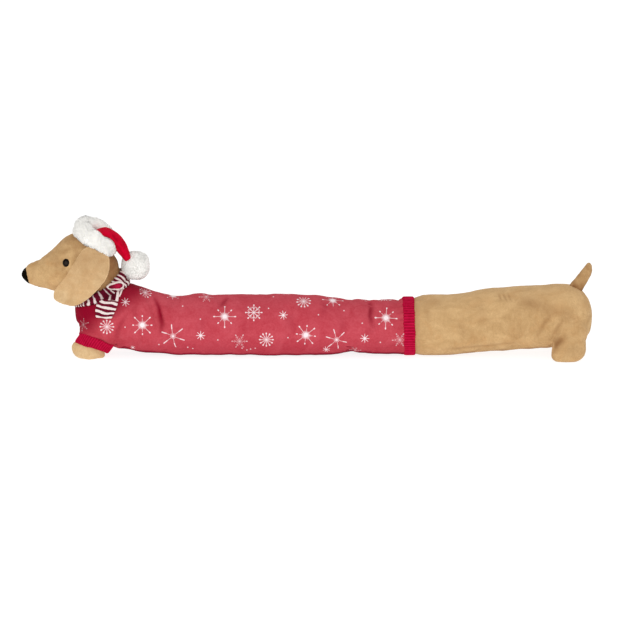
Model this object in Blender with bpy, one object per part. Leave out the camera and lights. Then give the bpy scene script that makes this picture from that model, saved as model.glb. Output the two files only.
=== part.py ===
"""A dachshund draught excluder: a long filled tube in a printed jumper, with a plush head, legs and tail.

It lies on the floor along X, head towards -X, with its belly and four soles on z = 0. The origin is under
the middle of its length. Every soft piece is a solid of the shape it has when filled, hung or tied, and
pieces that touch are SEAM_GAP apart. Lengths are in metres.
"""

import math
from collections import namedtuple

import bmesh
import bpy
import numpy as np
from mathutils import Matrix, Vector
from mathutils.bvhtree import BVHTree

# ---------------------------------------------------------------- driving dimensions

SEAM_GAP = 0.0003
DRAPE_GAP = 0.0007
FLOOR_Z = 0.0

# A section is the line from the highest to the lowest point of a slice, in the plane y = 0, and half the
# width of the slice across it.
Section = namedtuple("Section", "back_x back_z belly_x belly_z half_width")

# The collar is one slanting plane: the neck ends on it, the jumper starts on it, the scarf lies on it.
NAPE = Vector((-0.3157, 0.0, 0.1270))
THROAT = Vector((-0.4025, 0.0, 0.0823))
NECK_HALF_WIDTH = 0.044
NECK_LENGTH = 0.016
NECK_UP = (NAPE - THROAT).normalized()
NECK_DOWN = Vector((NECK_UP.z, 0.0, -NECK_UP.x))

NOSE_SECTIONS = [
    Section(-0.4995, 0.1440, -0.4975, 0.1348, 0.0040),
    Section(-0.4971, 0.1492, -0.4934, 0.1300, 0.0080),
    Section(-0.4937, 0.1525, -0.4888, 0.1264, 0.0108),
]
NOSE_TIP = Vector((-0.5000, 0.0, 0.1395))

HEAD_SECTIONS = [
    Section(-0.4934, 0.1526, -0.4885, 0.1263, 0.0104),
    Section(-0.4859, 0.1618, -0.4806, 0.1229, 0.0155),
    Section(-0.4718, 0.1673, -0.4648, 0.1182, 0.0205),
    Section(-0.4543, 0.1797, -0.4490, 0.1157, 0.0270),
    Section(-0.4367, 0.1956, -0.4332, 0.1123, 0.0340),
    Section(-0.4210, 0.2085, -0.4227, 0.1071, 0.0400),
    Section(-0.4000, 0.2150, -0.4165, 0.1025, 0.0440),
    Section(-0.3760, 0.2145, -0.4128, 0.0998, 0.0460),
    Section(-0.3540, 0.1995, -0.4114, 0.0983, 0.0465),
    Section(-0.3375, 0.1730, -0.4108, 0.0978, 0.0460),
    Section(-0.3288, 0.1525, -0.4104, 0.0973, 0.0450),
]

# The jumper from the collar to the hem. Its belly rests on the floor where belly_z is below zero.
JUMPER_SECTIONS = [
    Section(-0.3087, 0.1245, -0.4052, 0.0730, 0.0490),
    Section(-0.2929, 0.1185, -0.4040, 0.0600, 0.0505),
    Section(-0.2789, 0.1140, -0.3900, 0.0460, 0.0520),
    Section(-0.2649, 0.1110, -0.3550, 0.0365, 0.0530),
    Section(-0.2491, 0.1080, -0.3285, 0.0125, 0.0540),
    Section(-0.2315, 0.1045, -0.2990, 0.0055, 0.0545),
    Section(-0.2122, 0.1050, -0.2613, 0.0015, 0.0550),
    Section(-0.1877, 0.1072, -0.2193, -0.0015, 0.0560),
    Section(-0.1614, 0.1045, -0.1736, -0.0025, 0.0560),
    Section(-0.1175, 0.1045, -0.1175, -0.0025, 0.0565),
    Section(-0.0824, 0.1043, -0.0824, -0.0025, 0.0565),
    Section(-0.0333, 0.1032, -0.0333, -0.0025, 0.0560),
    Section(0.0228, 0.1018, 0.0228, -0.0020, 0.0560),
    Section(0.0509, 0.0995, 0.0509, 0.0010, 0.0560),
    Section(0.0789, 0.0965, 0.0789, 0.0060, 0.0550),
    Section(0.1070, 0.0953, 0.1070, 0.0030, 0.0545),
    Section(0.1351, 0.0965, 0.1351, 0.0005, 0.0540),
    Section(0.1580, 0.0950, 0.1580, 0.0008, 0.0525),
    Section(0.1698, 0.0965, 0.1698, 0.0010, 0.0520),
]

# Soft troughs in the jumper. across_deg is the way round from the back towards the viewer's side, reach_deg
# how far the trough runs each way round, and slant how far it leans along X for each radian.
Fold = namedtuple("Fold", "x across_deg reach_deg slant width depth")
JUMPER_FOLDS = [
    Fold(-0.262, 62, 45, 0.024, 0.013, 0.0056),
    Fold(-0.300, 118, 30, -0.020, 0.012, 0.0030),
    Fold(-0.148, 25, 30, 0.030, 0.012, 0.0028),
    Fold(-0.030, 75, 40, 0.012, 0.013, 0.0022),
    Fold(0.079, 165, 45, 0.010, 0.013, 0.0034),
    Fold(0.113, 45, 42, 0.008, 0.012, 0.0036),
    Fold(-0.225, 290, 45, 0.020, 0.013, 0.0040),
    Fold(-0.070, 250, 40, -0.014, 0.013, 0.0030),
    Fold(0.060, 300, 40, 0.016, 0.012, 0.0034),
    Fold(0.130, 235, 35, -0.010, 0.012, 0.0028),
]

# The plush hindquarters behind the hem, from the seam under the rib band to the rump.
HIND_SECTIONS = [
    Section(0.1894, 0.0996, 0.1894, 0.0008, 0.0535),
    Section(0.1940, 0.1018, 0.1940, -0.0014, 0.0552),
    Section(0.2190, 0.1036, 0.2190, -0.0022, 0.0560),
    Section(0.2508, 0.1043, 0.2508, -0.0012, 0.0565),
    Section(0.2859, 0.1087, 0.2859, 0.0032, 0.0570),
    Section(0.3175, 0.1157, 0.3175, 0.0059, 0.0580),
    Section(0.3473, 0.1170, 0.3473, 0.0077, 0.0590),
    Section(0.3736, 0.1203, 0.3736, 0.0109, 0.0600),
    Section(0.4087, 0.1218, 0.4087, 0.0122, 0.0600),
    Section(0.4367, 0.1236, 0.4340, 0.0135, 0.0590),
    Section(0.4613, 0.1227, 0.4520, 0.0155, 0.0565),
    Section(0.4788, 0.1130, 0.4680, 0.0190, 0.0515),
    Section(0.4911, 0.1000, 0.4810, 0.0260, 0.0430),
    Section(0.4970, 0.0830, 0.4900, 0.0370, 0.0310),
    Section(0.4985, 0.0710, 0.4960, 0.0500, 0.0160),
]
HIND_FOLDS = [
    Fold(0.318, 60, 35, 0.020, 0.014, 0.0028),
    Fold(0.398, 98, 30, -0.040, 0.015, 0.0042),
    Fold(0.330, 285, 35, -0.018, 0.014, 0.0030),
    Fold(0.405, 262, 28, 0.040, 0.015, 0.0038),
]

# The rib band at the jumper's hem stands upright round the join of the two filled tubes.
HEM_START_X = 0.1701
HEM_WIDTH = 0.0188
HEM_CENTRE_Z = 0.0496
HEM_HALF_HEIGHT = 0.0509
HEM_HALF_WIDTH = 0.0545
HEM_THICKNESS = 0.0036
HEM_RIBS = 54
RIB_RELIEF = 0.0007

# A front leg: the sleeve leans forward, its rib band closes it, and the paw stands on the floor.
FRONT_LEG_Y = 0.033
FAR_LEG_SET_BACK = 0.0035
LEG_LEAN_DEG = 36.0
SLEEVE_TOP = Vector((-0.3600, 0.0, 0.0680))
SLEEVE_TOP_INSET = 0.0110
CUFF_TOP = Vector((-0.3676, 0.0, 0.0340))
CUFF_SLOPE_DEG = 20.0
CUFF_WIDTH = 0.0190
CUFF_HALF_LENGTH = 0.0303
CUFF_HALF_WIDTH = 0.0210
CUFF_THICKNESS = 0.0030
CUFF_RIBS = 24
PAW_SECTIONS = [
    Section(-0.4090, 0.0262, -0.3540, 0.0075, 0.0200),
    Section(-0.4115, 0.0200, -0.3525, 0.0035, 0.0214),
    Section(-0.4105, 0.0120, -0.3550, -0.0010, 0.0214),
    Section(-0.4060, 0.0040, -0.3610, -0.0050, 0.0195),
    Section(-0.3990, -0.0010, -0.3680, -0.0080, 0.0150),
]

# A hind leg, by level slices: its front and back edge and its inner and outer edge.
LegSlice = namedtuple("LegSlice", "z front_x back_x inner_y outer_y")
HIND_LEG = [
    LegSlice(-0.0040, 0.4355, 0.4670, 0.0440, 0.0690),
    LegSlice(-0.0010, 0.4295, 0.4740, 0.0370, 0.0755),
    LegSlice(0.0030, 0.4258, 0.4790, 0.0320, 0.0780),
    LegSlice(0.0100, 0.4255, 0.4845, 0.0280, 0.0785),
    LegSlice(0.0200, 0.4280, 0.4872, 0.0230, 0.0760),
    LegSlice(0.0330, 0.4300, 0.4880, 0.0160, 0.0710),
    LegSlice(0.0480, 0.4310, 0.4872, 0.0100, 0.0648),
    LegSlice(0.0640, 0.4360, 0.4840, 0.0080, 0.0595),
    LegSlice(0.0800, 0.4450, 0.4760, 0.0120, 0.0500),
]

TAIL_SECTIONS = [
    Section(0.4587, 0.1141, 0.4788, 0.1033, 0.0080),
    Section(0.4613, 0.1235, 0.4825, 0.1130, 0.0085),
    Section(0.4683, 0.1320, 0.4873, 0.1216, 0.0088),
    Section(0.4788, 0.1463, 0.4950, 0.1356, 0.0085),
    Section(0.4859, 0.1565, 0.4995, 0.1472, 0.0072),
    Section(0.4902, 0.1625, 0.4987, 0.1580, 0.0048),
]
TAIL_TIP = Vector((0.4945, 0.0, 0.1636))

# The ear's outline as it hangs, seen from the side.
Spot = namedtuple("Spot", "x z")
EAR_OUTLINE = [
    Spot(-0.3860, 0.1975),
    Spot(-0.4040, 0.1745),
    Spot(-0.4195, 0.1490),
    Spot(-0.4360, 0.1245),
    Spot(-0.4405, 0.1090),
    Spot(-0.4320, 0.0985),
    Spot(-0.4066, 0.0945),
    Spot(-0.3885, 0.1020),
    Spot(-0.3690, 0.1190),
    Spot(-0.3490, 0.1420),
    Spot(-0.3425, 0.1670),
    Spot(-0.3470, 0.1840),
    Spot(-0.3650, 0.1955),
]
EAR_THICKNESS = 0.0065

EYE_SPOT = Spot(-0.4195, 0.1700)
EYE_RADIUS = 0.0061
EYE_PROUD = 0.0037

# The scarf: a bunched band round the neck, a knot at the viewer's side and two ends below it.
BAND_THICKNESS = 0.0060
BAND_GAP = 0.0014
KNOT_SPOT = Spot(-0.3385, 0.1270)
KNOT_HALF_SIZE = Vector((0.0175, 0.0080, 0.0098))
KNOT_TILT_DEG = 14.0
END_THICKNESS = 0.0042
StripRow = namedtuple("StripRow", "x z half_width")
LONG_END = [
    StripRow(-0.3410, 0.1240, 0.0095),
    StripRow(-0.3420, 0.1150, 0.0120),
    StripRow(-0.3445, 0.1050, 0.0142),
    StripRow(-0.3480, 0.0940, 0.0150),
    StripRow(-0.3520, 0.0840, 0.0152),
    StripRow(-0.3550, 0.0760, 0.0146),
]
SHORT_END = [
    StripRow(-0.3350, 0.1240, 0.0080),
    StripRow(-0.3310, 0.1170, 0.0095),
    StripRow(-0.3290, 0.1090, 0.0100),
    StripRow(-0.3300, 0.1020, 0.0094),
]

# The hat: a fur band on the crown, a cloth cone that folds over behind it, and a pompom on the cone's tip.
BRIM_GAP = 0.0012
HEAD_MIDDLE = Vector((-0.3850, 0.0, 0.1550))
BRIM_CENTRE = Vector((-0.3665, -0.0090, 0.2140))
BRIM_UP = Vector((0.4900, -0.2285, 0.8400)).normalized()
BRIM_RING_RADIUS = 0.0280
BRIM_TUBE_RADIUS = 0.0142
POMPOM_CENTRE = Vector((-0.3002, 0.0020, 0.1574))
POMPOM_RADIUS = 0.0265
POMPOM_LOCKS_A_SIDE = 5
POMPOM_LOCK_LENGTH = 0.0050
POMPOM_GAP = 0.0025
# heading_deg is the way the cone runs there, from straight up towards the tail.
ConeRow = namedtuple("ConeRow", "x y z heading_deg half_height half_width")
CONE_ROWS = [
    ConeRow(-0.3680, -0.0085, 0.2100, 30.0, 0.0110, 0.0150),
    ConeRow(-0.3655, -0.0085, 0.2165, 45.0, 0.0100, 0.0185),
    ConeRow(-0.3605, -0.0090, 0.2200, 68.0, 0.0095, 0.0200),
    ConeRow(-0.3535, -0.0095, 0.2200, 97.0, 0.0098, 0.0210),
    ConeRow(-0.3440, -0.0105, 0.2140, 120.0, 0.0108, 0.0205),
    ConeRow(-0.3305, -0.0125, 0.2020, 133.0, 0.0116, 0.0185),
    ConeRow(-0.3215, -0.0145, 0.1893, 142.0, 0.0102, 0.0145),
    ConeRow(-0.3160, -0.0165, 0.1790, 147.0, 0.0080, 0.0105),
    ConeRow(-0.3120, -0.0185, 0.1710, 150.0, 0.0060, 0.0070),
]

# Colours are linear RGB.
TAN = (0.50, 0.31, 0.14)
JUMPER_RED = (0.55, 0.045, 0.075)
RIB_RED = (0.46, 0.004, 0.035)
HAT_RED = (0.62, 0.004, 0.020)
MAROON = (0.17, 0.004, 0.018)
OFF_WHITE = (0.82, 0.80, 0.74)
BLACK = (0.006, 0.005, 0.005)


# ---------------------------------------------------------------- tools


def clear_scene():
    for thing in list(bpy.data.objects):
        bpy.data.objects.remove(thing)


def finish_of(name, colour, roughness):
    """A plain material of one colour."""
    made = bpy.data.materials.new(name)
    made.use_nodes = True
    shader = made.node_tree.nodes["Principled BSDF"]
    shader.inputs["Base Color"].default_value = (*colour, 1.0)
    shader.inputs["Roughness"].default_value = roughness
    shader.inputs["Metallic"].default_value = 0.0
    return made


def solid(name, points, faces, finish):
    """One object from points and faces, with every face turned outwards."""
    mesh = bpy.data.meshes.new(name)
    mesh.from_pydata([tuple(p) for p in points], [], faces)
    shell = bmesh.new()
    shell.from_mesh(mesh)
    bmesh.ops.recalc_face_normals(shell, faces=shell.faces)
    shell.to_mesh(mesh)
    shell.free()
    mesh.shade_smooth()
    mesh.materials.append(finish)
    made = bpy.data.objects.new(name, mesh)
    bpy.context.scene.collection.objects.link(made)
    return made


def smooth_through(knots, values, places):
    """Reads a smooth curve through values, one row for each knot, that never swings past a row."""
    step = np.diff(knots)[:, None]
    slope = np.diff(values, axis=0) / step
    before, after = slope[:-1], slope[1:]
    short, long = step[:-1] + 2 * step[1:], 2 * step[:-1] + step[1:]
    tangent = np.zeros_like(values)
    with np.errstate(divide="ignore", invalid="ignore"):
        mean = (short + long) / (short / before + long / after)
    tangent[1:-1] = np.where(before * after > 0, mean, 0.0)
    tangent[0], tangent[-1] = slope[0], slope[-1]
    span = np.clip(np.searchsorted(knots, places, side="right") - 1, 0, len(knots) - 2)
    width = step[span]
    t = ((places - knots[span]) / width[:, 0])[:, None]
    return (
        (2 * t**3 - 3 * t**2 + 1) * values[span]
        + (t**3 - 2 * t**2 + t) * width * tangent[span]
        + (3 * t**2 - 2 * t**3) * values[span + 1]
        + (t**3 - t**2) * width * tangent[span + 1]
    )


def stations(rows, count):
    """The table's rows read again at count places, evenly spaced along the two edges of the sections."""
    values = np.array(rows, float)
    moves = np.diff(values, axis=0)
    travel = np.hypot(moves[:, 0], moves[:, 1]) + np.hypot(moves[:, 2], moves[:, 3])
    knots = np.concatenate([[0.0], np.cumsum(travel)])
    spread = smooth_through(knots, values, np.linspace(0, knots[-1], count))
    return [Section(*row) for row in spread]


def rounded(angle, fullness):
    """The cosine and sine of angle, swollen from a circle (2) towards a box as fullness rises."""
    cosine, sine = math.cos(angle), math.sin(angle)
    power = 2.0 / fullness
    return (
        math.copysign(abs(cosine) ** power, cosine),
        math.copysign(abs(sine) ** power, sine),
    )


def fold_depth(folds, x, angle):
    """How far the cloth is drawn in at this place: a trough with a low ridge on each side of it."""
    depth = 0.0
    for fold in folds:
        turn = (angle - math.radians(fold.across_deg) + math.pi) % (2 * math.pi) - math.pi
        reach = math.radians(fold.reach_deg)
        if abs(turn) > 2 * reach:
            continue
        q = (x - fold.x - fold.slant * turn) / fold.width
        depth += fold.depth * (1 - 0.8 * q * q) * math.exp(-q * q - (turn / reach) ** 2)
    return depth


def section_ring(section, segments, fullness=2.15, folds=(), grow=0.0):
    """The slice's outline, from the back round by the viewer's side, lifted where it would pass the floor."""
    back = Vector((section.back_x, 0.0, section.back_z))
    belly = Vector((section.belly_x, 0.0, section.belly_z))
    centre, half = (back + belly) / 2, (back - belly) / 2
    half += half.normalized() * grow
    ring = []
    for i in range(segments):
        angle = 2 * math.pi * i / segments
        up, side = rounded(angle, fullness)
        spoke = half * up - Vector((0.0, (section.half_width + grow) * side, 0.0))
        point = centre + spoke
        point -= spoke.normalized() * fold_depth(folds, point.x, angle)
        point.z = max(point.z, FLOOR_Z)
        ring.append(point)
    return ring


def loft_faces(rings):
    """Quads between neighbouring rings, and a fan to a point over each end."""
    count, last = len(rings[0]), (len(rings) - 1) * len(rings[0])
    faces = []
    for start in range(0, last, count):
        for i in range(count):
            j = (i + 1) % count
            faces.append((start + i, start + j, start + count + j, start + count + i))
    first_pole, last_pole = last + count, last + count + 1
    for i in range(count):
        j = (i + 1) % count
        faces.append((first_pole, j, i))
        faces.append((last_pole, last + i, last + j))
    return faces


def loft(name, rings, finish, first_pole=None, last_pole=None):
    """A closed skin over the rings. Each end closes on a pole, or on its ring's own middle."""
    points = [p for ring in rings for p in ring]
    for pole, ring in ((first_pole, rings[0]), (last_pole, rings[-1])):
        points.append(pole if pole is not None else sum(ring, Vector()) / len(ring))
    return solid(name, points, loft_faces(rings), finish)


def hoop(name, loops, finish):
    """A closed ring, such as a band: each loop is one cut through it, and the last joins the first."""
    count = len(loops[0])
    faces = []
    for k in range(len(loops)):
        here, there = k * count, (k + 1) % len(loops) * count
        for i in range(count):
            j = (i + 1) % count
            faces.append((here + i, here + j, there + j, there + i))
    return solid(name, [p for cut in loops for p in cut], faces, finish)


def helper(thing):
    """Marks a cutter or an inner shape, which is no piece of the object."""
    thing.hide_render = True
    thing.display_type = "WIRE"
    return thing


def combine(target, other, operation):
    """Joins other to target, or cuts it away, and keeps other only as a helper."""
    modifier = target.modifiers.new(operation.title(), "BOOLEAN")
    modifier.operation = operation
    modifier.object = helper(other)
    return target


def evaluated_tree(things):
    """One search tree over the finished surfaces of these objects."""
    bpy.context.view_layer.update()
    graph = bpy.context.evaluated_depsgraph_get()
    points, faces = [], []
    for thing in things:
        mesh = thing.evaluated_get(graph).to_mesh()
        start = len(points)
        points += [thing.matrix_world @ v.co for v in mesh.vertices]
        faces += [[start + i for i in face.vertices] for face in mesh.polygons]
    return BVHTree.FromPolygons(points, faces)


def keep_clear(points, tree, gap):
    """Moves each point that is inside the surface, or nearer than gap, out to gap."""
    for point in points:
        place, normal, _, _ = tree.find_nearest(point)
        height = (point - place).dot(normal)
        if height < gap:
            point += normal * (gap - height)
    return points


def lift_over(points, tree, centre, gap):
    """Moves each point that lies under the surface, as seen from centre, out to gap above it."""
    reach = 0.04
    for point in points:
        out = (point - centre).normalized()
        hit = tree.ray_cast(point + out * reach, -out, reach + gap)[0]
        if hit is not None:
            point += hit + out * gap - point
    return points


def cut_clear(piece, neighbour, gap):
    """Cuts the piece back to the neighbour's surface, so that it sits on it gap away."""
    bpy.context.view_layer.update()
    graph = bpy.context.evaluated_depsgraph_get()
    mesh = bpy.data.meshes.new_from_object(neighbour.evaluated_get(graph))
    cutter = bpy.data.objects.new(piece.name + "_seat_on_" + neighbour.name, mesh)
    bpy.context.scene.collection.objects.link(cutter)
    swell = cutter.modifiers.new("Swell", "DISPLACE")
    swell.strength = gap
    swell.mid_level = 0.0
    return combine(piece, cutter, "DIFFERENCE")


def side_depth(tree, x, z, side, reach=0.002):
    """How far cloth laid on one side at this place stands out from y = 0, or 0 past the outline."""
    depths = [0.0]
    for step_x, step_z in ((0, 0), (reach, 0), (-reach, 0), (0, reach), (0, -reach)):
        start = Vector((x + step_x, side * 0.3, z + step_z))
        hit = tree.ray_cast(start, Vector((0.0, -side, 0.0)))[0]
        if hit is not None:
            depths.append(hit.y * side)
    return max(depths)


def rib_cut(frame, half_long, half_short, profile, angle, crown):
    """One cut through a rib-knit band, standing across its ring. profile is (along, out) pairs."""
    cosine, sine = math.cos(angle), math.sin(angle)
    cut = []
    for along, out in profile:
        lift = out + (crown * RIB_RELIEF if out > 0 else 0.0)
        point = frame @ Vector(((half_long + lift) * cosine, (half_short + lift) * sine, along))
        point.z = max(point.z, FLOOR_Z)
        cut.append(point)
    return cut


def rib_band(name, frame, half_long, half_short, width, thickness, ribs, finish):
    """A rib-knit band: ridges run across its width, all round the ring."""
    edge = width / 2
    profile = [
        (-edge, 0.0),
        (-edge, thickness * 0.62),
        (-edge * 0.72, thickness),
        (edge * 0.72, thickness),
        (edge, thickness * 0.62),
        (edge, 0.0),
    ]
    crowns = (-1.0, 1.0)
    steps = ribs * len(crowns)
    loops = [
        rib_cut(
            frame,
            half_long - thickness,
            half_short - thickness,
            profile,
            2 * math.pi * i / steps,
            crowns[i % len(crowns)],
        )
        for i in range(steps)
    ]
    return hoop(name, loops, finish)


def ring_frame(centre, long_way, short_way, along):
    """The placing of a band, from the three ways it points."""
    turn = Matrix((long_way, short_way, along)).transposed().to_4x4()
    return Matrix.Translation(centre) @ turn


# ---------------------------------------------------------------- the body


def make_jumper(finish):
    """The printed jumper, filled: the body tube and a short sleeve on each side, in one piece."""
    collar = [NAPE + NECK_DOWN * SEAM_GAP, THROAT + NECK_DOWN * SEAM_GAP]
    first = Section(collar[0].x, collar[0].z, collar[1].x, collar[1].z, 0.0470)
    rows = stations([first, *JUMPER_SECTIONS], 50)
    rings = [section_ring(row, 32, folds=JUMPER_FOLDS) for row in rows[1:-1]]
    rings.insert(0, section_ring(rows[0], 32))
    rings.append(section_ring(rows[-1], 32))
    jumper = loft("jumper", rings, finish)
    for side, word in ((-1, "near"), (1, "far")):
        combine(jumper, make_sleeve("sleeve_" + word, side, finish), "UNION")
    return jumper


def leg_ways():
    """The ways a front leg points: forward along the cuff's edge, and down and forward through the paw."""
    slope, lean = math.radians(CUFF_SLOPE_DEG), math.radians(LEG_LEAN_DEG)
    forward = Vector((math.cos(slope), 0.0, -math.sin(slope)))
    down = Vector((-math.sin(lean), 0.0, -math.cos(lean)))
    return forward, down


def set_back(side):
    """How far behind the viewer's-side leg this side's leg was sewn."""
    return Vector((FAR_LEG_SET_BACK if side > 0 else 0.0, 0.0, 0.0))


def leg_ring(centre, side, half_long, half_short, segments=24):
    """An oval ring across a front leg."""
    forward, _ = leg_ways()
    ring = []
    for i in range(segments):
        angle = 2 * math.pi * i / segments
        point = centre + forward * half_long * math.cos(angle) + set_back(side)
        point.y = side * FRONT_LEG_Y + half_short * math.sin(angle)
        point.z = max(point.z, FLOOR_Z)
        ring.append(point)
    return ring


def make_sleeve(name, side, finish):
    """The sleeve's cloth, from inside the chest down to the top of its rib band."""
    _, down = leg_ways()
    foot = CUFF_TOP - down * SEAM_GAP
    rings = []
    for share, swell in ((0.0, -0.0020), (0.4, 0.0006), (0.75, 0.0014), (0.92, 0.0010), (1.0, -0.0010)):
        centre = SLEEVE_TOP.lerp(foot, share)
        ring = leg_ring(centre, side, CUFF_HALF_LENGTH + swell, CUFF_HALF_WIDTH + swell)
        inwards = Vector((0.0, -side * SLEEVE_TOP_INSET * (1 - share) ** 1.5, 0.0))
        rings.append([point + inwards for point in ring])
    return loft(name, rings, finish)


def make_sleeve_cuff(name, side, finish):
    forward, down = leg_ways()
    centre = CUFF_TOP + down * CUFF_WIDTH / 2 + set_back(side)
    centre.y = side * FRONT_LEG_Y
    across = Vector((0.0, 1.0, 0.0))
    frame = ring_frame(centre, forward, across, down)
    return rib_band(
        name, frame, CUFF_HALF_LENGTH, CUFF_HALF_WIDTH, CUFF_WIDTH, CUFF_THICKNESS, CUFF_RIBS, finish
    )


def make_paw(name, side, finish):
    """The filled paw. Its narrow root fills the rib band, and its sole is flat on the floor."""
    _, down = leg_ways()
    inset = CUFF_THICKNESS + SEAM_GAP
    root_long, root_short = CUFF_HALF_LENGTH - inset, CUFF_HALF_WIDTH - inset
    top = CUFF_TOP + down * SEAM_GAP
    foot = CUFF_TOP + down * (CUFF_WIDTH + SEAM_GAP)
    rings = [leg_ring(top, side, root_long, root_short), leg_ring(foot, side, root_long, root_short)]
    for row in PAW_SECTIONS:
        ring = section_ring(row, 24, fullness=2.1)
        place = set_back(side) + Vector((0.0, side * FRONT_LEG_Y, 0.0))
        rings.append([p + place for p in reversed_from_front(ring)])
    return loft(name, rings, finish)


def reversed_from_front(ring):
    """A section ring starts at its first point and runs by -Y; a leg ring starts at +X and runs by +Y."""
    half = len(ring) // 2
    return ring[half:] + ring[:half]


def make_hem_band(finish):
    centre = Vector((HEM_START_X + HEM_WIDTH / 2, 0.0, HEM_CENTRE_Z))
    ways = Vector((0.0, 0.0, 1.0)), Vector((0.0, -1.0, 0.0)), Vector((1.0, 0.0, 0.0))
    frame = ring_frame(centre, *ways)
    return rib_band(
        "hem_band", frame, HEM_HALF_HEIGHT, HEM_HALF_WIDTH, HEM_WIDTH, HEM_THICKNESS, HEM_RIBS, finish
    )


def make_hindquarters(finish):
    """The plush body behind the hem with both hind legs, in one piece. Its neck fills the rib band."""
    segments = 34
    inset = HEM_THICKNESS + SEAM_GAP
    half = HEM_HALF_HEIGHT - inset
    rings = []
    for x in (HEM_START_X + SEAM_GAP, HEM_START_X + HEM_WIDTH + SEAM_GAP):
        neck = Section(x, HEM_CENTRE_Z + half, x, HEM_CENTRE_Z - half, HEM_HALF_WIDTH - inset)
        rings.append(section_ring(neck, segments, fullness=2.0))
    for row in stations(HIND_SECTIONS, 26):
        rings.append(section_ring(row, segments, folds=HIND_FOLDS))
    hind = loft("hindquarters", rings, finish)
    for side, word in ((-1, "near"), (1, "far")):
        combine(hind, make_hind_leg("hind_leg_" + word, side, finish), "UNION")
    return hind


def make_hind_leg(name, side, finish):
    """A hind leg, from its flat sole up into the thigh."""
    segments = 22
    rings = []
    for cut in HIND_LEG:
        centre = Vector(((cut.front_x + cut.back_x) / 2, side * (cut.inner_y + cut.outer_y) / 2, 0.0))
        half_x, half_y = (cut.back_x - cut.front_x) / 2, (cut.outer_y - cut.inner_y) / 2
        ring = []
        for i in range(segments):
            along, across = rounded(2 * math.pi * i / segments, 2.5)
            z = max(cut.z, FLOOR_Z)
            ring.append(Vector((centre.x + half_x * along, centre.y + half_y * across, z)))
        rings.append(ring)
    return loft(name, rings, finish)


def make_tail(hind, finish):
    """The filled tail, its root cut to sit on the rump."""
    rows = stations(TAIL_SECTIONS, 9)
    rings = [section_ring(row, 16, fullness=2.0) for row in rows]
    tail = loft("tail", rings, finish, last_pole=TAIL_TIP)
    return cut_clear(tail, hind, SEAM_GAP)


# ---------------------------------------------------------------- the head


def make_nose(finish):
    rings = [section_ring(row, 20, fullness=2.0) for row in stations(NOSE_SECTIONS, 5)]
    return loft("nose", rings, finish, first_pole=NOSE_TIP)


def make_head(finish):
    """The plush head and neck, one filled piece from behind the nose to the collar."""
    upper = (NAPE - NECK_DOWN * NECK_LENGTH, THROAT - NECK_DOWN * NECK_LENGTH)
    neck = [
        Section(back.x, back.z, belly.x, belly.z, NECK_HALF_WIDTH)
        for back, belly in (upper, (NAPE, THROAT))
    ]
    rings = [section_ring(row, 32) for row in stations([*HEAD_SECTIONS, neck[0]], 26)]
    rings.append(section_ring(neck[1], 32))
    return loft("head", rings, finish)


def make_eye(name, side, head, finish):
    """A domed eye, its back cut to sit on the plush."""
    depth = side_depth(evaluated_tree([head]), EYE_SPOT.x, EYE_SPOT.z, side, reach=0.0)
    mesh = bpy.data.meshes.new(name)
    dome = bmesh.new()
    bmesh.ops.create_uvsphere(dome, u_segments=16, v_segments=8, radius=EYE_RADIUS)
    squash = Matrix.Diagonal((1.0, 1.0, 0.75, 1.0))
    face_out = Matrix.Rotation(-side * math.pi / 2, 4, "X")
    turn_forward = Matrix.Rotation(-side * math.radians(10), 4, "Z")
    place = Matrix.Translation((EYE_SPOT.x, side * (depth - EYE_RADIUS * 0.75 + EYE_PROUD), EYE_SPOT.z))
    dome.transform(place @ turn_forward @ face_out @ squash)
    dome.to_mesh(mesh)
    dome.free()
    mesh.shade_smooth()
    mesh.materials.append(finish)
    eye = bpy.data.objects.new(name, mesh)
    bpy.context.scene.collection.objects.link(eye)
    return cut_clear(eye, head, SEAM_GAP)


def closed_curve(spots, count):
    """A smooth closed outline through the spots, as count places."""
    corners = np.array(spots, float)
    total = len(corners)
    outline = []
    for k in range(count):
        whole, t = divmod(k * total / count, 1.0)
        before, here, after, beyond = (corners[(int(whole) + d) % total] for d in (-1, 0, 1, 2))
        outline.append(
            0.5
            * (
                2 * here
                + (after - before) * t
                + (2 * before - 5 * here + 4 * after - beyond) * t**2
                + (3 * here - before - 3 * after + beyond) * t**3
            )
        )
    return outline


def hanging_depth(tree, x, z, top_z, side):
    """How far out cloth hangs at this place: as far as the furthest surface above it."""
    return max(side_depth(tree, x, level, side) for level in np.arange(z, top_z + 0.004, 0.004))


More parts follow.
